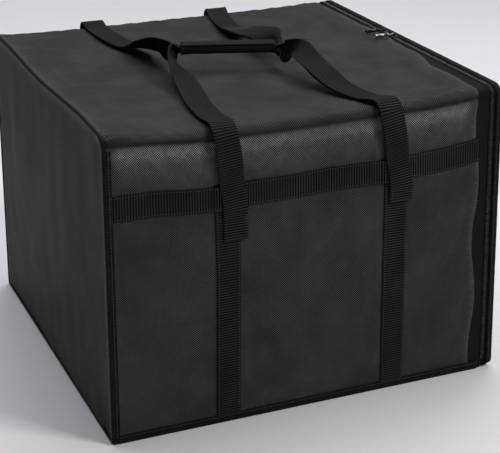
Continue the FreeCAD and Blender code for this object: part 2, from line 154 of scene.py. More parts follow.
def soften(points):
    """Turns the square carrier into the filled one: it leans in, sags and bulges.

    Every layer goes through this, so the layers stay one inside the other. What stands well
    above the top, as the grip does, stays where it is.
    """
    p = np.array(points, float)
    x, y, z = p[..., 0].copy(), p[..., 1].copy(), p[..., 2].copy()
    u = np.clip(x / HALF_WIDTH, -1, 1)
    v = np.clip(y / HALF_DEPTH, -1, 1)
    h = np.clip(z / TOP, 0, 1)
    hold = 1 - smooth((z - TOP - 5 * MM) / (12 * MM))
    middle_x = smooth((1 - np.abs(u)) / 0.5)
    middle_y = smooth((1 - np.abs(v)) / 0.6)
    belly = np.sin(math.pi * h)
    upper = smooth((h - 0.55) / 0.45)

    # The door's bottom edge is rounded.
    over, under = (x - HALF_WIDTH) / TOE + 1, 1 - z / TOE
    new_over, new_under = round_off(over, under)
    at_toe = (over > 0) & (under > 0)
    p[..., 0] += np.where(at_toe, (new_over - np.clip(over, 0, 1)) * TOE, 0)
    p[..., 2] -= np.where(at_toe, (new_under - np.clip(under, 0, 1)) * TOE, 0)

    # The sides lean in, the faces swell and the top sags.
    p[..., 0] -= hold * TAPER * h * u
    p[..., 1] -= hold * TAPER * h * v
    p[..., 1] += BULGE * belly * middle_x * np.sign(v) * np.abs(v) ** 8
    p[..., 0] -= LEFT_BULGE * belly * middle_y * smooth(-u * 8 - 7)
    p[..., 0] += 0.5 * BULGE * belly * middle_y * smooth(u * 12 - 11)
    p[..., 2] -= hold * SAG * upper * middle_x * (0.78 + 0.22 * middle_y - 0.5 * smooth(2.5 * v - 1.3))

    # The left end of the top dips in its middle and rises towards the front.
    edge_wave = -4.2 * MM * bell((y - 30 * MM) / (85 * MM))
    edge_wave += 2.6 * MM * bell((y + 160 * MM) / (55 * MM))
    p[..., 2] += hold * edge_wave * smooth((-u - 0.55) / 0.4) * smooth((h - 0.6) / 0.4)

    # The front's roll has a crease along it, and is fuller beside the crease.
    forward, upward = -HALF_DEPTH + ROLL - y, z - TOP + ROLL
    radius = np.hypot(forward, upward) / ROLL
    angle = np.arctan2(upward, forward)
    on_roll = smooth((radius - 0.45) / 0.3) * smooth((1.2 - radius) / 0.12)
    on_roll = on_roll * smooth((math.pi / 2 - angle) / 0.35) * (angle > -math.pi / 2)
    drift = 0.06 * np.sin(17 * x + 0.6)
    crease = bell((angle / (math.pi / 2) - CREASE_TURN - drift) / 0.09)
    crease *= 0.75 + 0.25 * np.sin(23 * x + 1) + 0.2 * np.sin(61 * x)
    ledge = np.sin(np.clip(2 * angle, 0, math.pi)) ** 2
    move = on_roll * smooth((1 - np.abs(u)) / 0.08) * (LEDGE * ledge - CREASE_DEPTH * crease)
    p[..., 1] -= move * np.cos(angle)
    p[..., 2] += move * np.sin(angle)

    # Slow ripples run over the top, the front and the back.
    ripple = np.sin(31 * x + 17 * y + 1.3) * np.sin(23 * y - 19 * x + 0.4)
    p[..., 2] += 0.8 * MM * hold * ripple * upper * middle_x * middle_y
    ripple = np.sin(29 * x + 24 * z + 0.7) * np.sin(17 * z - 13 * x + 2.1)
    p[..., 1] += 0.9 * MM * ripple * belly * middle_x * np.sign(v) * np.abs(v) ** 8
    return p


def arch(s, out=0.0):
    """(y, z) on the wrap at length s from the front's foot, and which way is outwards."""
    s = np.asarray(s, float)
    front = np.clip((s - WALL) / QUARTER, 0, 1) * math.pi / 2
    back = np.clip((s - WALL - QUARTER - ROOF) / QUARTER, 0, 1) * math.pi / 2
    run = np.clip(s - WALL - QUARTER, 0, ROOF)
    down = np.clip(s - LENGTH + WALL, 0, None)
    y = -HALF_DEPTH + ROLL * (1 - np.cos(front)) + run + ROLL * np.sin(back)
    z = np.clip(s, None, WALL) + ROLL * np.sin(front) - ROLL * (1 - np.cos(back)) - down
    out_y = -np.cos(front + back)
    out_z = np.sin(front + back)
    return y + out_y * out, z + out_z * out, out_y, out_z


def wrap_outward(s):
    """The way outwards from the wrap at each s."""
    _, _, out_y, out_z = arch(s)
    return np.stack([np.zeros(len(s)), out_y, out_z], -1)


def on_wrap(s, x, out=0.0):
    """Points on the square carrier's wrap, raised by out."""
    s, x, out = np.broadcast_arrays(*(np.asarray(a, float) for a in (s, x, out)))
    y, z, _, _ = arch(s, out)
    return np.stack([x, y, z], -1)


def ring(half, low, high, turn, foot_turn, step=3 * MM):
    """A side panel's outline as (y, z) points, the way outwards, and the length so far."""
    points = []
    corners = [(-1, low + foot_turn, foot_turn, 180, 270), (1, low + foot_turn, foot_turn, 270, 360),
               (1, high - turn, turn, 0, 90), (-1, high - turn, turn, 90, 180)]
    for side, z, r, start, end in corners:
        y = side * (half - r)
        for angle in np.radians(np.linspace(start, end, 7)):
            points.append((y + r * math.cos(angle), z + r * math.sin(angle)))
    points = np.array(points)
    closed = np.vstack([points, points[:1]])
    length = length_along(closed)
    count = int(length[-1] / step)
    at = np.linspace(0, length[-1], count, endpoint=False)
    path = line_at(at, length, closed)
    along = np.roll(path, -1, 0) - np.roll(path, 1, 0)
    along /= np.linalg.norm(along, axis=1)[:, None]
    return path, np.stack([along[:, 1], -along[:, 0]], -1), at


def refine(grid):
    """Twice as many points along both directions, on a smooth surface through the old ones."""
    for axis in (0, 1):
        grid = np.moveaxis(grid, axis, 0)
        first, last = 2 * grid[:1] - grid[1:2], 2 * grid[-1:] - grid[-2:-1]
        wide = np.concatenate([first, grid, last])
        middle = (9 * (wide[1:-2] + wide[2:-1]) - wide[:-3] - wide[3:]) / 16
        fine = np.empty((2 * len(grid) - 1,) + grid.shape[1:])
        fine[::2] = grid
        fine[1::2] = middle
        grid = np.moveaxis(fine, 0, axis)
    return grid


def grid_normals(grid):
    """The way outwards at each point of a grid whose columns cross its rows to the right."""
    along = np.gradient(grid, axis=0)
    across = np.gradient(grid, axis=1)
    normal = np.cross(across, along)
    return normal / np.maximum(np.linalg.norm(normal, axis=-1), 1e-12)[..., None]


def grid_faces(rows, cols, start=0, close_rows=False, close_cols=False, flip=False):
    """The four-sided faces of a grid of points. Either direction may close on itself."""
    r = np.arange(rows if close_rows else rows - 1)
    c = np.arange(cols if close_cols else cols - 1)
    r, c = (a.ravel() for a in np.meshgrid(r, c, indexing="ij"))
    r2, c2 = (r + 1) % rows, (c + 1) % cols
    faces = np.stack([r * cols + c, r * cols + c2, r2 * cols + c2, r2 * cols + c], -1) + start
    return faces[:, ::-1] if flip else faces


def grid_uv(across, along):
    """(u, v) for each point of a grid, from its columns' and its rows' places in metres."""
    return np.stack(np.broadcast_arrays(across[None, :], along[:, None]), -1)


def edge_distance(panel, half, low, high):
    """How far each point of a side panel is from the nearest of its edges."""
    upright = np.minimum(panel[..., 2] - low, high - panel[..., 2])
    return np.minimum(half - np.abs(panel[..., 1]), upright)


def make(name, points, faces, material, uv=None, wear=None):
    """A mesh object. uv is (u, v) in metres, and the per-point values run from -1, painted shade in a fold,
    to 1, for worn edges and for a painted glint highlight.
    """
    mesh = bpy.data.meshes.new(name)
    faces = [tuple(int(i) for i in f) for f in faces]
    mesh.from_pydata([tuple(p) for p in np.asarray(points, float).reshape(-1, 3)], [], faces)
    mesh.polygons.foreach_set("use_smooth", [True] * len(mesh.polygons))
    if uv is not None:
        corners = np.zeros(len(mesh.loops), int)
        mesh.loops.foreach_get("vertex_index", corners)
        layer = mesh.uv_layers.new(name="weave")
        layer.data.foreach_set("uv", np.asarray(uv, float).reshape(-1, 2)[corners].ravel())
    if wear is not None:
        layer = mesh.attributes.new("wear", "FLOAT", "POINT")
        layer.data.foreach_set("value", np.asarray(wear, np.float32).ravel())
    mesh.materials.append(material)
    mesh.validate()
    whole = bmesh.new()
    whole.from_mesh(mesh)
    bmesh.ops.recalc_face_normals(whole, faces=whole.faces)
    whole.to_mesh(mesh)
    whole.free()
    mesh.update()
    obj = bpy.data.objects.new(name, mesh)
    bpy.context.scene.collection.objects.link(obj)
    return obj


def shell(name, outer, thick, material, uv, wear=None, close_rows=False):
    """A sheet with thickness: the grid is its outer side."""
    rows, cols = outer.shape[:2]
    inner = outer - grid_normals(outer) * thick
    if close_rows:
        wide = np.concatenate([outer[-1:], outer, outer[:1]])
        inner = outer - grid_normals(wide)[1:-1] * thick
    count = rows * cols
    faces = [grid_faces(rows, cols, 0, close_rows, flip=True),
             grid_faces(rows, cols, count, close_rows)]
    index = np.arange(count).reshape(rows, cols)
    edges = [(index[:, 0], close_rows, False), (index[:, -1], close_rows, True)]
    if not close_rows:
        edges += [(index[0], False, True), (index[-1], False, False)]
    for line, closed, flip in edges:
        after = np.roll(line, -1) if closed else line[1:]
        line = line if closed else line[:-1]
        rim = np.stack([line, after, after + count, line + count], -1)
        faces.append(rim if flip else rim[:, ::-1])
    points = np.concatenate([outer.reshape(-1, 3), inner.reshape(-1, 3)])
    twice = np.concatenate([np.reshape(uv, (-1, 2))] * 2)
    wear = None if wear is None else np.concatenate([np.ravel(wear)] * 2)
    return make(name, points, np.concatenate(faces), material, twice, wear)


def loft(name, sections, material, uv=None, closed=False, wear=None):
    """A closed tube through equal sections, capped at its ends unless it closes on itself."""
    rows, cols = sections.shape[:2]
    faces = [tuple(f) for f in grid_faces(rows, cols, 0, closed, True)]
    if not closed:
        faces.append(tuple(range(cols - 1, -1, -1)))
        faces.append(tuple(range((rows - 1) * cols, rows * cols)))
    return make(name, sections, faces, material, uv, wear)


def rounded_box(low, high, turn, cell):
    """Points and faces of a box with rounded edges, and even cells on its faces."""
    lines = []
    for axis in range(3):
        size = high[axis] - low[axis]
        edge = turn * (1 - np.cos(np.linspace(0, math.pi / 2, 5)))
        inner = np.linspace(turn, size - turn, max(2, int(size / cell)))[1:-1]
        lines.append(np.concatenate([edge, inner, size - edge[::-1]]))
    points, faces, seen = [], [], {}

    def add(point):
        key = tuple(int(round(c * 1e7)) for c in point)
        if key not in seen:
            seen[key] = len(points)
            points.append(point)
        return seen[key]

    for axis in range(3):
        a, b = (axis + 1) % 3, (axis + 2) % 3
        for level in (0.0, high[axis] - low[axis]):
            index = np.zeros((len(lines[a]), len(lines[b])), int)
            for i, p in enumerate(lines[a]):
                for j, q in enumerate(lines[b]):
                    point = [0.0, 0.0, 0.0]
                    point[axis], point[a], point[b] = level, p, q
                    index[i, j] = add(tuple(point))
            quads = np.stack([index[:-1, :-1], index[1:, :-1], index[1:, 1:], index[:-1, 1:]], -1)
            quads = quads.reshape(-1, 4)
            faces.append(quads if level else quads[:, ::-1])
    points = np.array(points)
    size = np.array(high) - np.array(low)
    core = np.clip(points, turn, size - turn)
    away = points - core
    away /= np.maximum(np.linalg.norm(away, axis=1), 1e-12)[:, None]
    return core + away * turn + np.array(low), np.concatenate(faces)


# ---------------------------------------------------------------- materials

class Paint:
    """Builds one material from nodes. A socket or a plain number goes wherever a value does."""

    def __init__(self, name, **settings):
        self.material = bpy.data.materials.new(name)
        self.material.use_nodes = True
        self.tree = self.material.node_tree
        self.shader = self.tree.nodes["Principled BSDF"]
        for key, value in settings.items():
            self.set(self.shader.inputs[key.replace("_", " ")], value)

    def set(self, socket, value):
        if isinstance(value, bpy.types.NodeSocket):
            self.tree.links.new(value, socket)
        elif hasattr(value, "__len__") and len(value) == 3 and len(socket.default_value) == 4:
            socket.default_value = (*value, 1)
        else:
            socket.default_value = value

    def node(self, kind, inputs=(), **settings):
        made = self.tree.nodes.new("ShaderNode" + kind)
        for key, value in settings.items():
            setattr(made, key, value)
        for key, value in dict(inputs).items():
            self.set(made.inputs[key], value)
        return made

    def math(self, kind, first, second=0.0, third=0.0):
        made = self.node("Math", {0: first, 1: second, 2: third}, operation=kind)
        return made.outputs[0]

    def weave_axes(self):
        """The cloth's own directions, in metres: across it and along it."""
        uv = self.node("UVMap", uv_map="weave")
        parts = self.node("SeparateXYZ", {0: uv.outputs[0]})
        return parts.outputs[0], parts.outputs[1]

    def place(self):
        return self.node("TexCoord").outputs["Object"]

    def wave(self, value, period):
        """-1 to 1, once every period metres."""
        return self.math("SINE", self.math("MULTIPLY", value, 2 * math.pi / period))

    def noise(self, size, detail=3.0, where=None):
        where = where or self.place()
        made = self.node("TexNoise", {"Vector": where, "Scale": 1 / size, "Detail": detail})
        return made.outputs["Fac"]

    def wear(self):
        return self.node("Attribute", attribute_name="wear").outputs["Fac"]

    def blend(self, share, first, second):
        made = self.node("Mix", data_type="RGBA")
        for index, value in ((0, share), (6, first), (7, second)):
            self.set(made.inputs[index], value)
        return made.outputs[2]

    def ramp(self, value, low, high, to_low=0.0, to_high=1.0):
        made = self.node("MapRange", {0: value, 1: low, 2: high, 3: to_low, 4: to_high})
        return made.outputs[0]

    def finish(self, colour=None, rough=None, height=None, distance=0.0003, strength=1.0):
        if colour is not None:
            self.set(self.shader.inputs["Base Color"], colour)
        if rough is not None:
            self.set(self.shader.inputs["Roughness"], rough)
        if height is not None:
            bump = self.node("Bump", {"Strength": strength, "Distance": distance, "Height": height})
            self.set(self.shader.inputs["Normal"], bump.outputs[0])
        return self.material


def fabric_paint(name, dark, light, period=2.8 * MM):
    """Coated polyester with a fine diamond emboss, dusty in places and worn at its edges. Its raised diamonds
    are painted lighter than the hollows, a painted highlight and painted shade on the weave. The per-point
    values light the raised points for worn edges and for a painted glint highlight, and darken a crease with
    painted shade.
    """
    p = Paint(name, Specular_IOR_Level=0.07)
    u, v = p.weave_axes()
    diamond = p.math("MULTIPLY", p.wave(u, period), p.wave(v, period))
    fuzz = p.noise(0.9 * MM, 2.0)
    crease = p.noise(26 * MM, 4.0)
    height = p.math("ADD", diamond, p.math("MULTIPLY", fuzz, 0.7))
    height = p.math("ADD", height, p.math("MULTIPLY", crease, 2.4))
    # Painted highlight on the raised diamonds and painted shade in the hollows between them.
    raised = p.ramp(diamond, -0.2, 0.75)
    # Random patches vary the strength of that painted weave highlight.
    patch = p.ramp(p.noise(38 * MM, 3.0), 0.36, 0.66, 0.72, 1.0)
    dust = p.ramp(p.noise(70 * MM, 5.0), 0.42, 0.72, 0.0, 0.09)
    # Above nought the per-point values are worn edges and a painted glint highlight.
    rub = p.ramp(p.wear(), 0.0, 1.0)
    rub_and_glint = p.math("MULTIPLY", rub, p.ramp(p.noise(9 * MM, 3.0), 0.3, 0.65, 0.45, 1.0))
    tone = p.math("ADD", p.math("MULTIPLY", raised, patch), dust)
    # Below nought they darken the crease: painted shade.
    tone = p.math("MULTIPLY", tone, p.ramp(p.wear(), -1.0, 0.0))
    colour = p.blend(tone, dark, light)
    # The raised points are painted much lighter there: worn cloth and a painted glint highlight.
    rub_and_glint_tips = p.math("MULTIPLY", rub_and_glint, p.ramp(diamond, 0.1, 0.9))
    colour = p.blend(rub_and_glint_tips, colour, [c * 6.5 for c in light])
    rough = p.math("ADD", p.ramp(fuzz, 0.3, 0.7, 0.5, 0.66), p.math("MULTIPLY", rub_and_glint, 0.1))
    return p.finish(colour, rough, height, 0.2 * MM, 1.0)


def webbing_paint(name, dark, light):
    """Polypropylene webbing: fine warp cords over the modelled ribs, with painted shade in the valleys
    between the ribs.
    """
    p = Paint(name, Specular_IOR_Level=0.07)
    u, v = p.weave_axes()
    warp = p.wave(u, 1.25 * MM)
    rib = p.wave(p.math("ADD", v, RIB / 4), RIB)
    cross = p.wave(v, RIB / 2)
    knot = p.math("MULTIPLY", warp, cross)
    height = p.math("ADD", p.math("MULTIPLY", warp, 0.6), p.math("MULTIPLY", knot, 0.4))
    height = p.math("SUBTRACT", height, p.math("MULTIPLY", rib, 1.2))
    fuzz = p.noise(0.6 * MM, 2.0)
    height = p.math("ADD", height, p.math("MULTIPLY", fuzz, 0.8))
    # Painted shade: the valleys between the ribs are painted darker than their ridges.
    ridge = p.ramp(rib, 0.6, -0.7)
    shade = p.math("MULTIPLY", ridge, p.ramp(warp, -1.0, 1.0, 0.6, 1.0))
    shade = p.math("MULTIPLY", shade, p.ramp(p.noise(40 * MM, 3.0), 0.35, 0.7, 0.6, 1.0))
    colour = p.blend(shade, dark, light)
    return p.finish(colour, p.ramp(fuzz, 0.3, 0.7, 0.5, 0.66), height, 0.2 * MM, 1.0)


def binding_paint(name, dark, light):
    """Grosgrain binding tape, ribbed across, with a light gloss."""
    p = Paint(name, Specular_IOR_Level=0.08)
    _, v = p.weave_axes()
    rib = p.wave(v, 1.5 * MM)
    fuzz = p.noise(1.1 * MM, 2.0)
    pucker = p.noise(7 * MM, 2.0)
    height = p.math("ADD", p.math("MULTIPLY", rib, 0.5), p.math("MULTIPLY", fuzz, 0.5))
    height = p.math("ADD", height, p.math("MULTIPLY", pucker, 2.0))
    shade = p.math("ADD", p.ramp(rib, -1.0, 1.0, 0.0, 0.35), p.ramp(pucker, 0.35, 0.7, 0.0, 0.5))
    colour = p.blend(shade, dark, light)
    return p.finish(colour, p.ramp(fuzz, 0.3, 0.7, 0.42, 0.56), height, 0.2 * MM, 0.8)


def thread_paint(name, colour):
    """Twisted sewing thread."""
    p = Paint(name, Sheen_Weight=0.2)
    twist = p.noise(0.35 * MM, 1.0)
    tone = p.blend(p.ramp(p.noise(14 * MM), 0.3, 0.7), [c * 0.7 for c in colour], colour)
    return p.finish(tone, p.ramp(twist, 0.3, 0.7, 0.4, 0.55), twist, 0.1 * MM, 0.6)


def tape_paint(name, dark, light):
    """Woven zip tape in a close twill."""
    p = Paint(name, Specular_IOR_Level=0.07)
    u, v = p.weave_axes()
    twill = p.wave(p.math("ADD", v, p.math("MULTIPLY", u, 0.6)), 0.9 * MM)
    fuzz = p.noise(0.5 * MM, 2.0)
    height = p.math("ADD", twill, p.math("MULTIPLY", fuzz, 0.8))
    colour = p.blend(p.ramp(twill, -1.0, 1.0, 0.1, 0.7), dark, light)
    return p.finish(colour, p.ramp(fuzz, 0.3, 0.7, 0.55, 0.7), height, 0.08 * MM, 0.8)


def nylon_paint(name, dark, light):
    """Moulded nylon of the zip's coil, polished by use."""
    p = Paint(name)
    rub = p.noise(6 * MM, 3.0)
    colour = p.blend(p.ramp(rub, 0.35, 0.7), dark, light)
    return p.finish(colour, p.ramp(rub, 0.35, 0.7, 0.24, 0.36), p.noise(0.5 * MM), 0.03 * MM, 0.5)


def metal_paint(name, dark, light, metallic=1.0):
    """Plated zinc with fine scratches and duller hollows."""
    p = Paint(name, Metallic=metallic)
    where = p.place()
    stretched = p.node("Mapping", {"Vector": where, "Scale": (1.0, 0.12, 1.0)}).outputs[0]
    scratch = p.noise(0.4 * MM, 4.0, stretched)
    patina = p.noise(3.5 * MM, 4.0)
    colour = p.blend(p.ramp(patina, 0.35, 0.68), dark, light)
    rough = p.math("ADD", p.ramp(scratch, 0.3, 0.7, 0.2, 0.34), p.ramp(patina, 0.3, 0.7, 0.0, 0.12))
    return p.finish(colour, rough, scratch, 0.02 * MM, 0.5)


def foil_paint(name):
    """Aluminium film on the foam: bright, finely crumpled and a little scuffed."""
    p = Paint(name, Metallic=0.85)
    where = p.place()
    cells = p.node("TexVoronoi", {"Vector": where, "Scale": 1 / (17 * MM)}, feature="DISTANCE_TO_EDGE")
    crumple = p.ramp(cells.outputs["Distance"], 0.0, 0.35)
    soft = p.noise(11 * MM, 5.0)
    grain = p.noise(1.6 * MM, 2.0)
    height = p.math("ADD", p.math("MULTIPLY", crumple, 0.6), p.math("MULTIPLY", soft, 1.8))
    height = p.math("ADD", height, p.math("MULTIPLY", grain, 0.12))
    colour = p.blend(p.ramp(soft, 0.3, 0.7), (0.58, 0.59, 0.61), (0.78, 0.79, 0.8))
    return p.finish(colour, p.ramp(grain, 0.3, 0.7, 0.27, 0.4), height, 0.5 * MM, 0.7)


def foam_paint(name):
    """Closed-cell foam: pale, matt and full of fine cells."""
    p = Paint(name)
    cells = p.node("TexVoronoi", {"Vector": p.place(), "Scale": 1 / (1.4 * MM)}).outputs["Distance"]
    cloud = p.noise(30 * MM, 3.0)
    colour = p.blend(p.ramp(cloud, 0.3, 0.7), (0.66, 0.67, 0.68), (0.8, 0.81, 0.82))
    return p.finish(colour, p.ramp(cells, 0.0, 0.8, 0.7, 0.9), cells, 0.25 * MM, 0.6)


def board_paint(name):
    """Fluted plastic board: lines of its cells show through the skin."""
    p = Paint(name)
    x = p.node("SeparateXYZ", {0: p.place()}).outputs[0]
    flute = p.wave(x, 4.2 * MM)
    scuff = p.noise(8 * MM, 5.0)
    colour = p.blend(p.ramp(scuff, 0.4, 0.7), (0.016, 0.016, 0.018), (0.035, 0.035, 0.038))
    return p.finish(colour, p.ramp(scuff, 0.3, 0.7, 0.35, 0.55), flute, 0.12 * MM, 0.7)


def fastening_paint(name, dark, light, size):
    """Hook-and-loop tape: a dense field of tiny hooks or loops."""
    p = Paint(name, Sheen_Weight=0.3)
    cells = p.node("TexVoronoi", {"Vector": p.place(), "Scale": 1 / size}).outputs["Distance"]
    fuzz = p.noise(size * 0.6, 3.0)
    colour = p.blend(p.ramp(cells, 0.1, 0.7), dark, light)
    height = p.math("ADD", cells, fuzz)
    return p.finish(colour, p.ramp(fuzz, 0.3, 0.7, 0.6, 0.8), height, 0.4 * MM, 1.0)


def floor_paint(name):
    """A pale, matt studio floor."""
    p = Paint(name)
    cloud = p.noise(0.7, 2.0)
    colour = p.blend(p.ramp(cloud, 0.3, 0.7), (0.86, 0.86, 0.865), (0.89, 0.89, 0.89))
    return p.finish(colour, p.ramp(cloud, 0.3, 0.7, 0.55, 0.65), p.noise(2 * MM), 0.02 * MM, 0.2)


FABRIC = fabric_paint("outer_fabric_paint", (0.0015, 0.0015, 0.0015), (0.118, 0.116, 0.112))
WEBBING = webbing_paint("webbing_paint", (0.001, 0.001, 0.001), (0.048, 0.048, 0.047))
BINDING = binding_paint("binding_paint", (0.002, 0.002, 0.002), (0.014, 0.014, 0.014))
THREAD = thread_paint("thread_paint", (0.055, 0.054, 0.053))
DARK_THREAD = thread_paint("dark_thread_paint", (0.014, 0.014, 0.014))
TAPE = tape_paint("zip_tape_paint", (0.004, 0.004, 0.0045), (0.014, 0.014, 0.015))
COIL = nylon_paint("zip_coil_paint", (0.005, 0.005, 0.0055), (0.016, 0.016, 0.017))
METAL = metal_paint("zip_metal_paint", (0.16, 0.16, 0.17), (0.5, 0.5, 0.52))
DARK_METAL = metal_paint("dark_metal_paint", (0.015, 0.015, 0.017), (0.06, 0.06, 0.065), 0.8)
FOIL = foil_paint("foil_paint")
FOAM = foam_paint("foam_paint")
BOARD = board_paint("board_paint")
HOOKS = fastening_paint("hook_paint", (0.008, 0.008, 0.009), (0.04, 0.04, 0.042), 0.9 * MM)
GRIP_CLOTH = fabric_paint("grip_cloth_paint", (0.002, 0.002, 0.002), (0.036, 0.036, 0.036), 2.2 * MM)
LOOPS = fastening_paint("loop_paint", (0.01, 0.01, 0.011), (0.05, 0.05, 0.052), 0.5 * MM)


def settle_piece(obj, body, slot, *nodes):
    """Puts a finished piece on its body and hides the nodes it stands for. Its slot is not used."""
    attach(obj, body)
    if nodes:
        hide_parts(*nodes)
    return obj


# ---------------------------------------------------------------- outer fabric

def panel_rows(half, low, high, turn, foot_turn, cell):
    """Heights of a side panel's rows and the panel's half depth at each."""
    foot = np.radians(np.linspace(0, 90, 5))
    head = np.radians(np.linspace(0, 90, 7))
    straight = np.linspace(low + foot_turn, high - turn, 2 * int((high - low) / cell / 2) + 1)
    z = np.concatenate([low + foot_turn * (1 - np.cos(foot)), straight[1:-1],
                        high - turn + turn * np.sin(head)])
    width = np.concatenate([half - foot_turn * (1 - np.sin(foot)), np.full(len(straight) - 2, half),
                            half - turn * (1 - np.cos(head))])
    return z, width


def panel_grid(x, half, low, high, turn, foot_turn, cell, outward):
    """A side panel as a grid of points, and its own flat directions."""
    z, width = panel_rows(half, low, high, turn, foot_turn, cell)
    share = np.linspace(-1, 1, 2 * int(2 * half / cell / 2) + 1) * outward
    y = width[:, None] * share[None, :]
    zz = np.broadcast_to(z[:, None], y.shape)
    grid = np.stack([np.full(y.shape, x), y, zz], -1)
    return grid, np.stack([y * outward, zz], -1)


def wrap_lines(cell_s, cell_x):
    """The wrap's rows, closer together at the crease, and its even columns."""
    rows = 2 * int(LENGTH / cell_s / 2) + 1
    cols = 2 * int((WRAP_RIGHT - WRAP_LEFT) / cell_x / 2) + 1
    even = np.linspace(0, LENGTH, 4 * rows)
    crowded = np.cumsum(1 + 2.5 * bell((even - CREASE) / (9 * MM)))
    share = (crowded - crowded[0]) / (crowded[-1] - crowded[0])
    s = np.interp(np.linspace(0, 1, rows), share, even)
    return s, np.linspace(WRAP_LEFT, WRAP_RIGHT, cols)


def wrap_pins(s, x):
    """Which of the wrap's points are sewn down: seams, hems, and what lies under webbing."""
    foot = np.minimum(s, LENGTH - s)
    pinned = (x < SEAM_INNER + 3 * MM) | (x > WRAP_RIGHT - 9 * MM) | (foot < HEM_TOP + 5 * MM)
    under_strap = (np.abs(np.abs(x) - abs(STRAP_X)) < WEB_WIDTH / 2 + 3 * MM) & (foot < STRAP_TOP + 4 * MM)
    under_band = (foot > BAND_LOW - 3 * MM) & (foot < BAND_HIGH + 3 * MM)
    return pinned | under_strap | under_band


def run_cloth(grids, pins, frames):
    """Lets slack panels settle on the foam, and returns where their points come to rest."""
    sizes = [g.shape[0] * g.shape[1] for g in grids]
    starts = np.concatenate([[0], np.cumsum(sizes)])
    points = np.concatenate([g.reshape(-1, 3) for g in grids])
    faces = np.concatenate([grid_faces(*g.shape[:2], start=n) for g, n in zip(grids, starts)])
    cloth = make("cloth_run", points, faces, FABRIC)
    group = cloth.vertex_groups.new(name="sewn")
    sewn = np.concatenate([np.ravel(p) for p in pins])
    group.add([int(i) for i in np.nonzero(sewn)[0]], 1.0, "REPLACE")

    low = (LEFT_FACE + FOAM_SET_BACK, -HALF_DEPTH + FOAM_SET_BACK, 1 * MM)
    high = (DOOR_FACE - FOAM_SET_BACK, HALF_DEPTH - FOAM_SET_BACK, TOP - FOAM_SET_BACK)
    core, core_faces = rounded_box(low, high, ROLL - FOAM_SET_BACK, 40 * MM)
    foam = make("foam_run", core, core_faces, FOAM)
    foam.modifiers.new("collision", "COLLISION")
    foam.collision.thickness_outer = 0.5 * MM
    foam.collision.cloth_friction = 12

    settings = cloth.modifiers.new("cloth", "CLOTH").settings
    settings.quality = 6
    settings.mass = 0.05
    settings.tension_stiffness = 30
    settings.compression_stiffness = 30
    settings.shear_stiffness = 8
    settings.bending_stiffness = 1.5
    settings.air_damping = 2
    settings.shrink_min = -SLACK
    settings.vertex_group_mass = "sewn"
    cloth.modifiers["cloth"].collision_settings.distance_min = 0.8 * MM
    scene = bpy.context.scene
    cloth.modifiers["cloth"].point_cache.frame_end = frames
    for number in range(1, frames + 1):
        scene.frame_set(number)
    graph = bpy.context.evaluated_depsgraph_get()
    mesh = cloth.evaluated_get(graph).to_mesh()
    rest = np.zeros(len(mesh.vertices) * 3)
    mesh.vertices.foreach_get("co", rest)
    rest = rest.reshape(-1, 3)
    scene.frame_set(1)
    for obj in (cloth, foam):
        bpy.data.objects.remove(obj)
    return [rest[a:b].reshape(g.shape) for g, a, b in zip(grids, starts, starts[1:])]


def capped(move, limit):
    """Moves no longer than the limit."""
    size = np.linalg.norm(move, axis=-1)[..., None]
    return move * np.minimum(1, limit / np.maximum(size, 1e-9))


# x, side, height of the ridges in millimetres, ridges in a full turn, and their phase
PINCHES = ((WRAP_LEFT, -1, 4.6, 8.0, 0.4), (WRAP_LEFT, 1, 4.0, 8.0, 2.0),
           (WRAP_RIGHT, -1, 1.2, 6.0, 1.0), (WRAP_RIGHT, 1, 1.2, 6.0, 0.2))


def corner_pinch(grid):
    """Ridges that fan out from the wrap's top corners, where the cloth is gathered at the seam."""
    normal = grid_normals(grid)
    lift = np.zeros(grid.shape[:2])
    for x, side, height, folds, phase in PINCHES:
        dx = np.abs(grid[..., 0] - x)
        dy = np.abs(grid[..., 1] - side * (HALF_DEPTH - ROLL * 0.4))
        dz = np.abs(grid[..., 2] - (TOP - ROLL * 0.4))
        away = np.sqrt(dx ** 2 + dy ** 2 + dz ** 2)
        angle = np.arctan2(dy - dz, dx + 4 * MM)
        ridge = np.cos(folds * angle + phase)
        lift += height * MM * ridge * smooth(away / (8 * MM)) * np.exp(-away / (17 * MM))
    return normal * lift[..., None]


def seam_pucker(grid, x, reach, height, seed):
    """Small gathers in the cloth beside a seam that runs at one x."""
    normal = grid_normals(grid)
    along = grid * np.array([0.25, 1.0, 1.0])
    gather = hills(along, 11 * MM, seed) + 0.5 * hills(along, 5 * MM, seed + 1)
    near = bell((grid[..., 0] - x) / reach)
    return normal * (gather * near * height)[..., None]


def zip_edge(s):
    """How far the wrap's edge wanders to the right of its straight line along the zip."""
    y, z, _, _ = arch(s)
    on_top = smooth((z - TOP + 30 * MM) / (30 * MM))
    set_back = -9.5 * MM * smooth((-y - 70 * MM) / (70 * MM)) - 4 * MM * smooth((y - 200 * MM) / (40 * MM))
    face_wave = 3.5 * MM * np.cos((z - 104 * MM) / (24 * MM)) * (1 - on_top)
    top_wave = 4 * MM * bell((y - 34 * MM) / (50 * MM)) + 1.1 * MM * np.sin(y / (17 * MM))
    return set_back + face_wave + top_wave * on_top


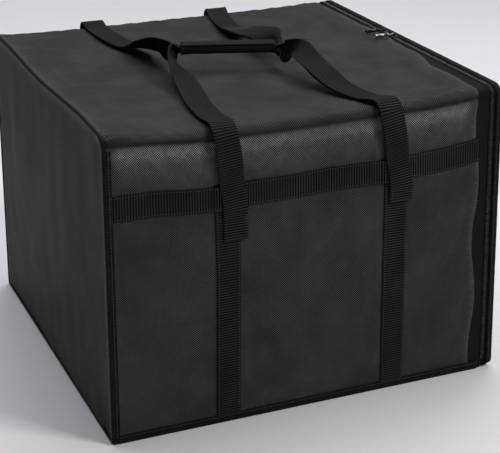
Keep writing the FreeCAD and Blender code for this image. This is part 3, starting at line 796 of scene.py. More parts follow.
def outer_fabric():
    """The wrap over front, top and back, and the plain left and door panels."""
    s, x = wrap_lines(3 * MM, PANEL_CELL)
    wrap = on_wrap(s[:, None], x[None, :])
    left, left_uv = panel_grid(LEFT_FACE, HALF_DEPTH, 0, TOP, ROLL, FOOT_TURN, PANEL_CELL, -1)
    door, door_uv = panel_grid(DOOR_FACE, HALF_DEPTH, DOOR_FOOT, TOP, ROLL, FOOT_TURN, PANEL_CELL, 1)
    grids = [wrap, left, door]
    pins = [wrap_pins(s[:, None], x[None, :])]
    for panel in (left, door):
        pins.append(edge_distance(panel, HALF_DEPTH, 0, TOP) < 12 * MM)
    coarse = [g[::2, ::2] for g in grids]
    rest = run_cloth(coarse, [p[::2, ::2] for p in pins], 22)
    moves = [refine(capped(r - c, 3.2 * MM)) for r, c in zip(rest, coarse)]

    moves[0] = moves[0] + corner_pinch(wrap)
    moves[0] += seam_pucker(wrap, SEAM_INNER, 9 * MM, 0.7 * MM, 3)
    moves[0] += seam_pucker(wrap, WRAP_RIGHT - 4 * MM, 8 * MM, 0.8 * MM, 5)
    gather = hills(left, 90 * MM, 8) * 1.5 * MM + hills(left * np.array([1, 1, 0.3]), 42 * MM, 9) * 1.2 * MM
    near = smooth((TOP - left[..., 2]) / (30 * MM)) * smooth((HALF_DEPTH - np.abs(left[..., 1])) / (25 * MM))
    moves[1][..., 0] -= gather * near

    stretch = smooth((wrap[..., 0] - WRAP_RIGHT + 55 * MM) / (55 * MM))
    moves[0][..., 0] += zip_edge(s)[:, None] * stretch

    # Per-point values: worn cloth along the side edges, a painted glint highlight in a band below the front
    # crease and on the back's roll, and painted shade, as negative values, in the crease.
    edge_x = np.minimum(wrap[..., 0] - WRAP_LEFT, WRAP_RIGHT - wrap[..., 0])
    glints = bell((s - CREASE + 11 * MM) / (9 * MM)) + 0.3 * bell((s - CREASE + 28 * MM) / (20 * MM))
    glints += 0.6 * bell((LENGTH - s - CREASE + 14 * MM) / (14 * MM))
    # Painted shade along the crease.
    fold = 0.7 * bell((s - CREASE) / (2.4 * MM))
    strength = 0.8 + 0.35 * hills(wrap, 70 * MM, 12)
    wear = np.maximum(0.3 * bell(edge_x / (6 * MM)), glints[:, None] * strength * smooth(edge_x / (22 * MM)))
    wear = wear * (1 - fold[:, None]) - 0.85 * fold[:, None]
    wrap_uv = grid_uv(x, s)
    settled = soften(wrap + moves[0])
    body = shell("wrap_fabric", settled, CLOTH, FABRIC, wrap_uv, wear)
    settle_piece(body, "bag", "outer_fabric", "wrap_panel")

    for name, grid, move, uv, owner, node, pad in (
            ("left_side_fabric", left, moves[1], left_uv, "bag", "left_side_panel", "left_foam_pad"),
            ("door_fabric", door, moves[2], door_uv, "door", "door_panel", "door_foam_pad")):
        edge = np.minimum(HALF_DEPTH - np.abs(grid[..., 1]), TOP - grid[..., 2])
        panel = shell(name, soften(grid + move), CLOTH, FABRIC, uv, bell(edge / (8 * MM)))
        settle_piece(panel, owner, "outer_fabric", node)
    return s, x, settled


cloth_s, cloth_x, cloth_grid = outer_fabric()

# ---------------------------------------------------------------- sewing

def along_line(points, outward, pitch, placed):
    """Even places along a line on the carrier: where, which way it runs, and which way is out."""
    base = points if placed else soften(points)
    raised = outward if placed else soften(points + outward * MM) - base
    length = length_along(base)
    at = np.arange(pitch / 2, length[-1], pitch)
    where, out = line_at(at, length, base), line_at(at, length, raised)
    run = line_at(at + 0.2 * MM, length, base) - line_at(at - 0.2 * MM, length, base)
    run /= np.maximum(np.linalg.norm(run, axis=1), 1e-12)[:, None]
    out -= run * np.sum(run * out, axis=1)[:, None]
    out /= np.maximum(np.linalg.norm(out, axis=1), 1e-12)[:, None]
    return where, run, out


def stitches(name, lines, body, slot, pitch=STITCH, radius=0.3 * MM, placed=False, thread=THREAD):
    """Rows of sewing thread. A line is its points and the way outwards from each.

    The points are on the square carrier, or already on the finished one if placed is true.
    """
    ends = np.array([-0.39, -0.3, 0.0, 0.3, 0.39]) * pitch
    girth = np.array([0.3, 0.9, 1.0, 0.9, 0.3]) * radius
    lift = np.array([-0.9, 0.25, 0.6, 0.25, -0.9]) * radius
    turn = np.radians(np.arange(0, 360, 60))
    side = (girth[:, None] * np.cos(turn)).ravel()
    up = (girth[:, None] * np.sin(turn) + lift[:, None]).ravel()
    forward = np.repeat(ends, len(turn))
    cell = grid_faces(5, 6, 0, False, True)
    points, faces = [], []
    count = 0
    for line, outward in lines:
        where, run, out = along_line(line, outward, pitch, placed)
        across = np.cross(run, out)
        made = where[:, None] + run[:, None] * forward[:, None] + across[:, None] * side[:, None]
        made = made + out[:, None] * up[:, None]
        points.append(made.reshape(-1, 3))
        starts = count + np.arange(len(where)) * len(forward)
        faces.append((starts[:, None, None] + cell[None]).reshape(-1, 4))
        count += made.shape[0] * made.shape[1]
    piece = make(name, np.concatenate(points), np.concatenate(faces), thread)
    return settle_piece(piece, body, slot)


def wrap_line(s, x, out):
    """A sewing line that lies on the wrap."""
    s, x, out = np.broadcast_arrays(*(np.asarray(a, float) for a in (s, x, out)))
    return on_wrap(s, x, out), wrap_outward(s)


def cloth_line(s, x):
    """A line on the finished wrap, by its length s and place x, and the way outwards."""
    normals = grid_normals(cloth_grid)
    row = np.interp(s, cloth_s, np.arange(len(cloth_s)))
    col = np.interp(x, cloth_x, np.arange(len(cloth_x)))
    r = np.clip(row.astype(int), 0, len(cloth_s) - 2)
    c = np.clip(col.astype(int), 0, len(cloth_x) - 2)
    fr, fc = (row - r)[:, None], (col - c)[:, None]

    def sample(grid):
        return ((grid[r, c] * (1 - fc) + grid[r, c + 1] * fc) * (1 - fr)
                + (grid[r + 1, c] * (1 - fc) + grid[r + 1, c + 1] * fc) * fr)

    return sample(cloth_grid), sample(normals)


def sew_wrap_edges():
    """Two rows of topstitching beside the zip."""
    s = np.arange(14 * MM, LENGTH - 14 * MM, 4 * MM)
    for name, x in (("zip_side", WRAP_RIGHT - 3.2 * MM), ("zip_side_inner", WRAP_RIGHT - 6.4 * MM)):
        stitches(name + "_stitches", [cloth_line(s, np.full(len(s), x))], "bag", "outer_fabric",
                 placed=True, thread=DARK_THREAD)


# ---------------------------------------------------------------- webbing

def webbing(name, centre, across, through, width, thick, fold=0.0):
    """A ribbed strap along a line of centres. fold curls its width into a gutter, in radians."""
    rows = len(centre)
    width, thick, fold = (np.broadcast_to(a, rows) for a in (width, thick, fold))
    length = length_along(centre)
    flat = np.linspace(-1, 1, 11) * 0.965
    turn = np.radians([60, 0, -60])
    a = np.concatenate([flat, 0.965 + 0.035 * np.cos(turn), flat[::-1], -0.965 - 0.035 * np.cos(turn)])
    b = np.concatenate([np.ones(11), np.sin(turn), -np.ones(11), -np.sin(turn)])
    rib = 0.5 + 0.5 * np.cos(2 * math.pi * length / RIB)
    bite = 1 - 0.34 * rib[:, None] * smooth((0.97 - np.abs(a)) / 0.08)[None, :]
    half = width[:, None] / 2 * a[None, :]
    depth = thick[:, None] / 2 * b[None, :] * bite
    curl = np.maximum(fold, 1e-3)[:, None]
    radius = width[:, None] / 2 / curl
    angle = half / radius
    sideways = (radius + depth) * np.sin(angle)
    lift = (radius + depth) * np.cos(angle) - radius * (1 + np.cos(curl)) / 2
    points = centre[:, None] + across[:, None] * sideways[..., None] + through[:, None] * lift[..., None]
    uv = np.stack(np.broadcast_arrays(half, length[:, None]), -1)
    return loft(name, soften(points), WEBBING, uv)


def wrap_strap(name, x, mirror):
    """An upright strap, sewn flat on the front or, mirrored, on the back."""
    s = np.arange(STRAP_FOOT - 1 * MM, STRAP_TOP, RIB / 4)
    s = LENGTH - s if mirror else s
    lean = 0.5 * MM * np.sin(s / (47 * MM) + 20 * x)
    centre = on_wrap(s, x + lean, WEB_THICK / 2)
    through = wrap_outward(s)
    across = np.broadcast_to([1.0, 0, 0], through.shape)
    strap = webbing(name + "_webbing", centre, across, through, WEB_WIDTH, WEB_THICK)
    settle_piece(strap, "bag", "webbing", name)
    sides = [wrap_line(s, x + lean + side * (WEB_WIDTH / 2 - 2.2 * MM), WEB_THICK * 0.97) for side in (-1, 1)]
    stitches(name + "_stitches", sides, "bag", "webbing", thread=DARK_THREAD)


def band_height(x):
    """The cross band isn't sewn quite straight: it wanders, and climbs a little towards the door."""
    wander = 1.2 * MM * np.sin(x / (41 * MM) + 0.8) + 0.7 * MM * np.sin(x / (17 * MM))
    climb = BAND_CLIMB * smooth((x - 40 * MM) / (230 * MM))
    return (BAND_LOW + BAND_HIGH) / 2 + wander + climb


def cross_band(name, mirror):
    """The webbing across the front or, mirrored, the back: it steps over the upright straps."""
    x = np.arange(SEAM_INNER - 3 * MM, WRAP_RIGHT - 7 * MM, RIB / 4)
    tuck = np.minimum(smooth((x - x[0]) / (6 * MM)), smooth((x[-1] - x) / (5 * MM)))
    over = smooth((WEB_WIDTH / 2 + 5 * MM - np.abs(np.abs(x) - abs(STRAP_X))) / (5 * MM))
    thick = WEB_THICK * (0.45 + 0.55 * tuck)
    out = thick / 2 + WEB_THICK * over + 0.1 * MM
    s = band_height(x)
    s = LENGTH - s if mirror else s
    through = wrap_outward(s)
    across = np.broadcast_to([0, 0, 1.0], through.shape)
    band = webbing(name + "_webbing", on_wrap(s, x, out), across, through, WEB_WIDTH, thick)
    settle_piece(band, "bag", "webbing", name)
    edge = WEB_WIDTH / 2 - 2.2 * MM
    lines = [wrap_line(s + side * edge, x, out + thick / 2) for side in (-1, 1)]
    stitches(name + "_stitches", lines, "bag", "webbing", thread=DARK_THREAD)


# ---------------------------------------------------------------- handles

GRIP_AXIS = -Vector(next(j for j in frame["joints"] if j["name"] == "grip_flap_hinge")["axis"])
GRIP_ACROSS = Vector((0, 0, 1)).cross(GRIP_AXIS)
GRIP_PLACE = (sleeve_low + sleeve_high) / 2
# The sleeve lies at an angle, so its own length and depth are worked out from its box.
sleeve_box = sleeve_high - sleeve_low
slant = GRIP_AXIS.x ** 2 - GRIP_AXIS.y ** 2
GRIP_LENGTH = (sleeve_box.x * GRIP_AXIS.x - sleeve_box.y * abs(GRIP_AXIS.y)) / slant
GRIP_DEPTH = (sleeve_box.y * GRIP_AXIS.x - sleeve_box.x * abs(GRIP_AXIS.y)) / slant
GRIP_HEIGHT = sleeve_box.z
HANDLE_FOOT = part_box("front_handle_strap")[0].z

# Each leg: x of its sewn end, x at the top edge, then its way over the top as
# (x, y, height above the top, roll in degrees from flat), in millimetres.
FRONT_LEGS = (
    (-99, -112, ((-111, -210, 3, 0), (-108, -165, 5, 0), (-100, -115, 7, 0), (-94, -75, 10, 8),
                 (-91, -46, 15, 30), (-89, -22, 19, 65), (-82, -6, 19, 85))),
    (114, 97, ((86, -212, 3, 0), (71, -176, 7, 0), (60, -142, 14, 5), (56, -108, 22, 15),
               (58, -78, 25, 40), (57, -58, 21, 70), (51, -46, 18, 85))),
)
BACK_LEGS = (
    (-99, -115, ((-116, 215, 3, 0), (-112, 162, 5, 0), (-102, 120, 5, 0), (-95, 85, 9, 10),
                 (-92, 52, 16, 30), (-89, 24, 21, 65), (-80, 8, 19, 85))),
    (108, 72, ((66, 215, 3, 0), (58, 165, 5, 0), (54, 120, 9, 0), (52, 75, 14, 10),
               (54, 28, 20, 30), (57, -4, 22, 65), (52, -26, 19, 85))),
)


def grip_point(along, across, height):
    """A point on the grip: along it, across it, and above its underside."""
    place = Vector((GRIP_PLACE.x, GRIP_PLACE.y, sleeve_low.z))
    return place + GRIP_AXIS * along + GRIP_ACROSS * across + Vector((0, 0, height))


def foot_level(foot_x):
    """The handles' right ends are sewn on a little higher than their left ends."""
    return HANDLE_FOOT + (FOOT_RISE if foot_x > 0 else 0)


def leg_stations(foot_x, edge_x, route, sign):
    """(centre, roll) from the sewn end, up the face and over the top edge."""
    layer = WEB_THICK
    up_face = ((foot_level(foot_x), 1.5 * layer + 0.3 * MM), (BAND_LOW - 12 * MM, 1.5 * layer + 0.3 * MM),
               (BAND_LOW - 5 * MM, 2.5 * layer + 0.3 * MM), (BAND_HIGH + 2 * MM, 2.5 * layer + 0.3 * MM),
               (TOP - 48 * MM, 8.5 * MM), (TOP - 18 * MM, 10.5 * MM), (TOP - 3 * MM, 8 * MM))
    stations = []
    for z, out in up_face:
        share = max(z - BAND_LOW, 0) / (TOP - BAND_LOW)
        x = (foot_x + (edge_x - foot_x) * share) * MM
        stations.append((Vector((x, sign * (HALF_DEPTH + out), z)), 0.0))
    stations.append((Vector((edge_x * MM, sign * (HALF_DEPTH - 3 * MM), TOP + 5.5 * MM)), 0.0))
    for x, y, rise, roll in route:
        stations.append((Vector((x * MM, y * MM, TOP + rise * MM)), roll))
    return stations


def smooth_path(knots, step):
    """Even samples of a smooth curve through rows of numbers; the first three are the place."""
    knots = np.array(knots, float)
    chord = np.linalg.norm(np.diff(knots[:, :3], axis=0), axis=1)
    t = np.concatenate([[0], np.cumsum(np.sqrt(chord))])
    slope = np.gradient(knots, t, axis=0)
    dense = []
    for i in range(len(knots) - 1):
        u = np.linspace(0, 1, max(4, int(chord[i] / step * 2)), endpoint=False)[:, None]
        span = t[i + 1] - t[i]
        dense.append((2 * u ** 3 - 3 * u ** 2 + 1) * knots[i] + (u ** 3 - 2 * u ** 2 + u) * span * slope[i]
                     + (3 * u ** 2 - 2 * u ** 3) * knots[i + 1] + (u ** 3 - u ** 2) * span * slope[i + 1])
    dense = np.concatenate(dense + [knots[-1:]])
    length = length_along(dense[:, :3])
    at = np.arange(0, length[-1], step)
    even = line_at(at, length, dense)
    reach = int(7 * MM / step)
    weights = np.hanning(2 * reach + 1)
    weights /= weights.sum()
    padded = np.concatenate([2 * even[:1] - even[reach:0:-1], even, 2 * even[-1:] - even[-2:-reach - 2:-1]])
    return np.stack([np.convolve(padded[:, i], weights, "valid") for i in range(even.shape[1])], -1)


def handle(name, legs, sign):
    """One handle: up a face, curled into the grip's sleeve, and down the same face again."""
    knots = []
    inside = sign * (GRIP_DEPTH / 4 - 0.6 * MM)

    def add(centre, across, width, thick, curl):
        knots.append([*centre, *across, width, thick, curl])

    def add_leg(stations, side):
        for centre, roll in stations:
            lean = math.radians(roll)
            add(centre, (side * math.cos(lean), 0, -math.sin(lean)), WEB_WIDTH * (1 - 0.22 * roll / 90),
                WEB_THICK, 1.2 * (roll / 90) ** 2)

    left, right = (leg_stations(*leg, sign) for leg in legs)
    add_leg(left, 1)
    for along in (-GRIP_LENGTH / 2 - 7 * MM, -GRIP_LENGTH / 2 + 4 * MM, GRIP_LENGTH / 2 - 4 * MM,
                  GRIP_LENGTH / 2 + 7 * MM):
        packed = abs(along) < GRIP_LENGTH / 2
        size = (15 * MM, 1.0 * MM, 2.7) if packed else (21 * MM, 1.5 * MM, 1.9)
        add(grip_point(along, inside, GRIP_HEIGHT / 2), (0, 0, -1), *size)
    add_leg(list(reversed(right)), -1)

    path = smooth_path(knots, RIB / 4)
    centre, across = path[:, :3], path[:, 3:6]
    run = np.gradient(centre, axis=0)
    run /= np.linalg.norm(run, axis=1)[:, None]
    across = across - run * np.sum(run * across, axis=1)[:, None]
    across /= np.linalg.norm(across, axis=1)[:, None]
    through = np.cross(run, across)
    strap = webbing(name + "_webbing", centre, across, through, path[:, 6], path[:, 7], path[:, 8])
    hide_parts(name)
    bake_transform(strap)
    sew_feet(name, legs, sign)


def sew_feet(name, legs, sign):
    """A box of stitches through each end of a handle."""
    lines = []
    for foot_x, _, _ in legs:
        half = WEB_WIDTH / 2 - 3 * MM
        low, high = foot_level(foot_x) + 3 * MM, BAND_LOW - 6 * MM
        corners = [(-half, low), (half, low), (half, high), (-half, high)]
        pairs = [(corners[i], corners[(i + 1) % 4]) for i in range(4)]
        out = sign * (HALF_DEPTH + 2 * WEB_THICK + 0.32 * MM)
        for (x1, z1), (x2, z2) in pairs:
            share = np.linspace(0, 1, 12)[:, None]
            start = np.array([foot_x * MM + x1, out, z1])
            end = np.array([foot_x * MM + x2, out, z2])
            lines.append((start + (end - start) * share, np.tile([0.0, sign, 0.0], (12, 1))))
    stitches(name + "_foot_stitches", lines, "bag", "webbing", 3.0 * MM, 0.28 * MM, thread=DARK_THREAD)


# ---------------------------------------------------------------- bindings

def edge_binding(name, node, face, low, wall, top_wall, width, body):
    """Tape folded over the rim of a side panel, gathered a little by its stitches."""
    side = math.copysign(1, face)
    path, out, at = ring(HALF_DEPTH, low + PROUD, TOP, ROLL, FOOT_TURN, 2 * MM)
    high = PROUD
    over_face = [(0.1 * MM, -width), (0.75 * high, -0.97 * width), (0.96 * high, -0.76 * width),
                 (0.8 * high, -0.62 * width), (0.98 * high, -0.44 * width), (high, -0.18 * width)]
    round_corner = [(0.8 * high, 0.1 * MM), (0.2 * high, 0.72 * high), (-0.6 * high, 0.98 * high)]
    over_wall = [(-2.4 * MM, high), (0.62 * -wall, 0.8 * high), (0.78 * -wall, 0.98 * high),
                 (0.95 * -wall, 0.72 * high), (-wall, 0.1 * MM)]
    underside = [(-wall, -0.2 * MM), (-0.7 * MM, -0.3 * MM), (-0.3 * MM, -0.7 * MM), (-0.2 * MM, -width)]
    profile = np.array(over_face + round_corner + over_wall + underside)
    a = np.tile(profile[:, 0], (len(path), 1))
    b = np.tile(profile[:, 1], (len(path), 1))
    on_top = smooth((out[:, 1] - 0.3) / 0.6)[:, None]
    a = np.where(a < 0, a * (1 - on_top * (1 - top_wall / wall)), a)
    gathers = hills(np.stack([path[:, 0], path[:, 1], at * 0], -1), 6 * MM, 21)[:, None]
    puff = (np.abs(profile[:, 0]) + np.abs(profile[:, 1])) > 1.0 * MM
    soft = 1 + 0.2 * gathers * puff[None, :]
    a = np.where(a > 0, np.minimum(a * soft, high), a)
    b = np.where(b > 0, np.minimum(b * soft, high), b)
    yz = path[:, None] + out[:, None] * b[..., None]
    points = np.stack([face + side * a, yz[..., 0], yz[..., 1]], -1)
    if side < 0:
        points = points[:, ::-1]
    uv = grid_uv(length_along(profile), at)
    piece = loft(name + "_tape", soften(points), BINDING, uv, closed=True)
    settle_piece(piece, body, "binding", node)

    closed = np.append(np.arange(len(path)), 0)
    yz = (path - out * 0.62 * width)[closed]
    on_face = np.stack([np.full(len(closed), face + side * high * 0.82), *yz.T], -1)
    lines = [(on_face, np.tile([side, 0.0, 0.0], (len(closed), 1)))]
    upright = path[:, 1] > low + 8 * MM
    for half in (path[:, 0] < 0, path[:, 0] >= 0):
        chosen = np.nonzero(upright & half & (np.abs(out[:, 0]) > 0.9))[0]
        yz = (path + out * high * 0.82)[chosen]
        row = np.stack([np.full(len(chosen), face - side * 0.62 * wall), yz[:, 0], yz[:, 1]], -1)
        lines.append((row, np.stack([np.zeros(len(chosen)), *out[chosen].T], -1)))
    stitches(name + "_stitches", lines, body, "binding")


def hem(name, node, sign):
    """Tape folded under the front or back panel's lower edge."""
    x = np.arange(SEAM_INNER - 2 * MM, WRAP_RIGHT + 1.5 * MM, 2 * MM)
    high = PROUD
    stitched = HEM_TOP - 2.6 * MM
    profile = np.array([(-0.2 * MM, HEM_TOP), (0.7 * high, HEM_TOP - 0.1 * MM), (high, HEM_TOP - 1.2 * MM),
                        (0.75 * high, stitched), (high, HEM_TOP - 4.4 * MM), (high, 3.4 * MM),
                        (0.9 * high, 1.2 * MM), (0.3 * high, 0.3 * MM), (-1.5 * MM, 0.1 * MM),
                        (-1.5 * MM, 0.8 * MM), (-0.4 * MM, 1.6 * MM)])
    gathers = hills(np.stack([x, x * 0, x * 0], -1), 7 * MM, 31 + sign)[:, None]
    gathered = np.minimum(profile[:, 0] * (1 + 0.22 * gathers), high)
    out = np.where(profile[:, 0] > 0.2 * MM, gathered, profile[:, 0])
    z = profile[:, 1] + 0.35 * MM * gathers * (profile[:, 1] > HEM_TOP - 3 * MM)
    out, z = np.broadcast_arrays(out, z)
    xx = np.broadcast_to(x[:, None], out.shape)
    points = np.stack([xx, sign * (HALF_DEPTH + out), z], -1)
    if sign > 0:
        points = points[:, ::-1]
    uv = grid_uv(length_along(profile), x)
    settle_piece(loft(name + "_tape", soften(points), BINDING, uv), "bag", "binding", node)
    depth = sign * (HALF_DEPTH + 0.78 * high)
    row = np.stack([x, np.full(len(x), depth), np.full(len(x), stitched)], -1)
    stitches(name + "_stitches", [(row, np.tile([0.0, sign, 0.0], (len(x), 1)))], "bag", "binding")


# ---------------------------------------------------------------- zip

coil_box = {side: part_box(side + "_zip_coil") for side in ("body", "door")}
tape_box = {side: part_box(side + "_zip_tape") for side in ("body", "door")}
ZIP_X = (coil_box["body"][0].x + coil_box["door"][1].x) / 2
ZIP_FOOT = coil_box["body"][0].z
COIL_TOP = coil_box["body"][1].z - TOP
TOOTH = 2.0 * MM


def zip_tape(name, low_x, high_x, body):
    """Tape sewn under the fabric's edge. It runs on below the coil to the bottom corner."""
    foot = 2.5 * MM
    s = np.arange(foot, LENGTH - foot, 3 * MM)
    x = np.linspace(low_x, high_x, 9)
    flat = on_wrap(s[:, None], x[None, :], -0.98 * MM)
    waves = hills(flat, 13 * MM, 91) * 0.35 * MM
    grid = on_wrap(s[:, None], x[None, :], -1.05 * MM - np.abs(waves) * bell((x - ZIP_X) / (9 * MM)))
    uv = grid_uv(x, s)
    tape = shell(name + "_cloth", soften(grid), 0.5 * MM, TAPE, uv)
    settle_piece(tape, body, "zip_tape", name)


def zip_coil(name, side, body):
    """One half of the zip: a row of nylon loops that reach past the middle between the others."""
    first = 0.25 if side < 0 else 0.75
    at = np.arange(ZIP_FOOT + first * TOOTH, LENGTH - ZIP_FOOT - TOOTH / 2, TOOTH)
    reach = np.array([-3.4, -3.0, -1.2, 0.1, 0.62]) * MM
    lift = np.array([-1.1, -0.35, -0.12, -0.3, -0.75]) * MM
    girth = np.array([0.3, 0.42, 0.45, 0.52, 0.4]) * MM
    turn = np.radians(np.arange(0, 360, 60))
    x = np.repeat(ZIP_X - side * reach, 6)
    along = (girth[:, None] * np.cos(turn)).ravel()
    out = (girth[:, None] * np.sin(turn) + lift[:, None]).ravel() + COIL_TOP - 0.15 * MM
    s = at[:, None] + along[None, :]
    points = on_wrap(s, x[None, :], out[None, :]).reshape(-1, 3)
    cell = [tuple(f) for f in grid_faces(5, 6, 0, False, True)]
    cell += [tuple(range(5, -1, -1)), tuple(range(24, 30))]
    faces = [tuple(i + 30 * n for i in f) for n in range(len(at)) for f in cell]
    coil = make(name + "_loops", soften(points), faces, COIL)
    settle_piece(coil, body, "zip_coil", name)


def solid(outline, axis, levels, material, place):
    """A small cast shape: an outline stacked at several levels, each (level, scale)."""
    outline = np.asarray(outline, float)
    middle = outline.mean(0)
    order = [(1, 2, 0), (0, 2, 1), (0, 1, 2)][axis]
    sections = []
    for level, scale in levels:
        flat = middle + (outline - middle) * scale
        section = np.zeros((len(flat), 3))
        section[:, order[0]], section[:, order[1]], section[:, order[2]] = flat[:, 0], flat[:, 1], level
        sections.append(section + place)
    return loft("cast_part", np.array(sections), material)


def join(name, parts):
    """Merges small pieces of one casting into one mesh."""
    points, faces, count = [], [], 0
    for part in parts:
        mesh = part.data
        points += [v.co[:] for v in mesh.vertices]
        faces += [tuple(i + count for i in p.vertices) for p in mesh.polygons]
        count += len(mesh.vertices)
    material = parts[0].data.materials[0]
    for part in parts:
        bpy.data.objects.remove(part)
    return make(name, points, faces, material)


def squircle(half_x, half_y, count=28, power=3.2):
    """An outline between an ellipse and a rectangle."""
    turn = np.linspace(0, 2 * math.pi, count, endpoint=False)
    c, s = np.cos(turn), np.sin(turn)
    return np.stack([half_x * np.sign(c) * np.abs(c) ** (2 / power),
                     half_y * np.sign(s) * np.abs(s) ** (2 / power)], -1)


def lathe(profile, axis, place, material, sides=20, closed=False):
    """A turned shape: (along, radius) pairs round an axis through place."""
    turn = np.linspace(0, 2 * math.pi, sides, endpoint=False)
    sections = []
    for along, radius in profile:
        ring_points = np.zeros((sides, 3))
        ring_points[:, axis] = along
        ring_points[:, (axis + 1) % 3] = radius * np.cos(turn)
        ring_points[:, (axis + 2) % 3] = radius * np.sin(turn)
        sections.append(ring_points + place)
    return loft("cast_part", np.array(sections), material, closed=closed)


def zip_place(node):
    """Where a slider sits: on the middle of the zip, at the middle of the coil's height."""
    low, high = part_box(node)
    return soften(np.array([[ZIP_X, (low.y + high.y) / 2, TOP - 0.7 * MM]]))[0]


PLATE_INNER, PLATE_OUTER = 1.3 * MM, 2.7 * MM   # a slider's plates, from the middle of the coil
PIN_UP = PLATE_OUTER + 1.8 * MM                 # the pin's axis, from there too


def slider(node):
    """Cast slider: two plates joined by a wedge, side lips, and two lugs with a pin."""
    place = zip_place(node)
    low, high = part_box(node)
    half_y = (high.y - low.y) / 2
    outline = squircle(5 * MM, half_y)
    narrow = 1 - 0.26 * smooth((outline[:, 1] / half_y - 0.1) / 0.9)
    outline[:, 0] *= narrow
    inner, outer = PLATE_INNER, PLATE_OUTER
    upper = [(inner, 0.97), (inner + 0.2 * MM, 1.0), (outer - 0.6 * MM, 1.0), (outer - 0.2 * MM, 0.94),
             (outer, 0.8)]
    lower = [(-level, scale) for level, scale in reversed(upper)]
    wedge = squircle(0.7 * MM, half_y * 0.4) + [0, half_y * 0.45]
    parts = [solid(outline, 2, upper, DARK_METAL, place), solid(outline, 2, lower, DARK_METAL, place),
             solid(wedge, 2, [(-inner, 1), (inner, 1)], DARK_METAL, place)]
    for side in (-1, 1):
        lip = squircle(0.45 * MM, half_y * 0.78, 16) + [side * 4.3 * MM, -half_y * 0.1]
        for start, end in ((inner, 0.55 * MM), (-0.55 * MM, -inner)):
            parts.append(solid(lip, 2, [(end, 0.8), (end + 0.15 * MM, 1), (start, 1)], DARK_METAL, place))
        lug = squircle(1.8 * MM, 2.1 * MM, 20, 2.6) + [0, outer + 1.5 * MM]
        near, far = sorted((side * 2.25 * MM, side * 3.35 * MM))
        across = [(near, 0.86), (near + 0.2 * MM, 1), (far - 0.2 * MM, 1), (far, 0.86)]
        parts.append(solid(lug, 1, across, DARK_METAL, place))
    pin = [(-3.5 * MM, 0.5 * MM), (-3.45 * MM, 0.78 * MM), (3.45 * MM, 0.78 * MM), (3.5 * MM, 0.5 * MM)]
    parts.append(lathe(pin, 1, place + np.array([0, 0, PIN_UP]), DARK_METAL, 14))
    settle_piece(join(node + "_casting", parts), node, "zip_metal", node)


def pull(node, slider_node, material):
    """Barrel pull: an eye on the pin, a flat neck, and a ribbed tube with an open end."""
    place = zip_place(slider_node) + np.array([0, 0, PIN_UP])
    # Millimetres from the pin: (along the pin, radius), (along the pull, half height, half width),
    # and (along the pull, radius) for the barrel with its two grooves and its open end.
    eye = [(-1.95, 0.88), (-1.95, 1.45), (-1.8, 1.6), (1.8, 1.6), (1.95, 1.45), (1.95, 0.88)]
    parts = [lathe([(a * MM, r * MM) for a, r in eye], 1, place, material, 20, closed=True)]
    neck = [(-1.3, 0.62, 1.4), (-2.6, 0.66, 1.35), (-4.2, 0.72, 1.15), (-5.6, 1.0, 1.1), (-6.4, 1.2, 1.2)]
    sections = []
    for x, tall, wide in neck:
        flat = squircle(wide * MM, tall * MM, 16)
        sections.append(np.stack([np.full(16, x * MM), flat[:, 0], flat[:, 1]], -1) + place)
    parts.append(loft("cast_part", np.array(sections), material))
    barrel = [(-5.5, 0.7), (-5.6, 1.5), (-6.0, 2.0), (-6.6, 2.35), (-8.6, 2.4), (-8.9, 2.1), (-9.3, 2.1),
              (-9.6, 2.4), (-21.9, 2.4), (-22.2, 2.1), (-22.6, 2.1), (-22.9, 2.4), (-26.4, 2.4),
              (-26.8, 2.25), (-26.9, 2.05), (-26.8, 1.7), (-26.0, 1.6), (-20.5, 1.5), (-20.4, 0.1)]
    parts.append(lathe([(a * MM, r * MM) for a, r in barrel], 0, place, material, 24))
    settle_piece(join(node + "_casting", parts), node, "zip_metal", node)


# ---------------------------------------------------------------- door edge, bottom and hinge

def door_gusset():
    """The narrow strip round the door's edge, between its panel and its zip tape."""
    low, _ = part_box("door_gusset")
    s = np.arange(6 * MM, LENGTH - 6 * MM, 3 * MM)
    x = np.linspace(low.x - 1.2 * MM, DOOR_FACE - 0.6 * MM, 5)
    grid = on_wrap(s[:, None], x[None, :], 0.0)
    uv = grid_uv(x, s)
    piece = shell("door_gusset_fabric", soften(grid), CLOTH, BINDING, uv)
    settle_piece(piece, "door", "outer_fabric", "door_gusset")


def bottom_fabric():
    """The panel that the carrier stands on."""
    low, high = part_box("bottom_panel")
    x = np.linspace(low.x, high.x, 50)
    y = np.linspace(low.y, high.y, 50)
    xx, yy = np.meshgrid(x, y, indexing="ij")
    lift = 0.25 * MM + 0.15 * MM * hills(np.stack([xx, yy, xx * 0], -1), 60 * MM, 41)
    grid = np.stack([xx, yy, lift], -1)
    piece = shell("bottom_fabric", grid, CLOTH, FABRIC, grid[..., :2])
    settle_piece(piece, "bag", "outer_fabric", "bottom_panel")


def hinge_strip():
    """Fabric from the bag's bottom edge round to the door's."""
    low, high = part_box("door_hinge_strip")
    start = low.x + 0.4 * MM
    path = [(start, 0.35), (start + 4 * MM, 0.3), (high.x - 5 * MM, 0.3), (high.x - 3 * MM, 0.35),
            (high.x - 1.9 * MM, 0.7), (high.x - 1.3 * MM, 1.5), (high.x - 1.2 * MM, 3.2)]
    path = np.array([(x, z * MM) for x, z in path])
    length = length_along(path)
    at = np.linspace(0, length[-1], 24)
    line = line_at(at, length, path)
    y = np.linspace(low.y, high.y, 90)
    grid = np.stack([np.broadcast_to(line[:, None, 0], (24, 90)), np.broadcast_to(y[None], (24, 90)),
                     np.broadcast_to(line[:, None, 1], (24, 90))], -1)
    uv = grid_uv(y, at)
    piece = shell("door_hinge_fabric", grid, CLOTH * 0.9, FABRIC, uv)
    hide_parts("door_hinge_strip")
    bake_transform(piece)


# ---------------------------------------------------------------- foam, board and lining

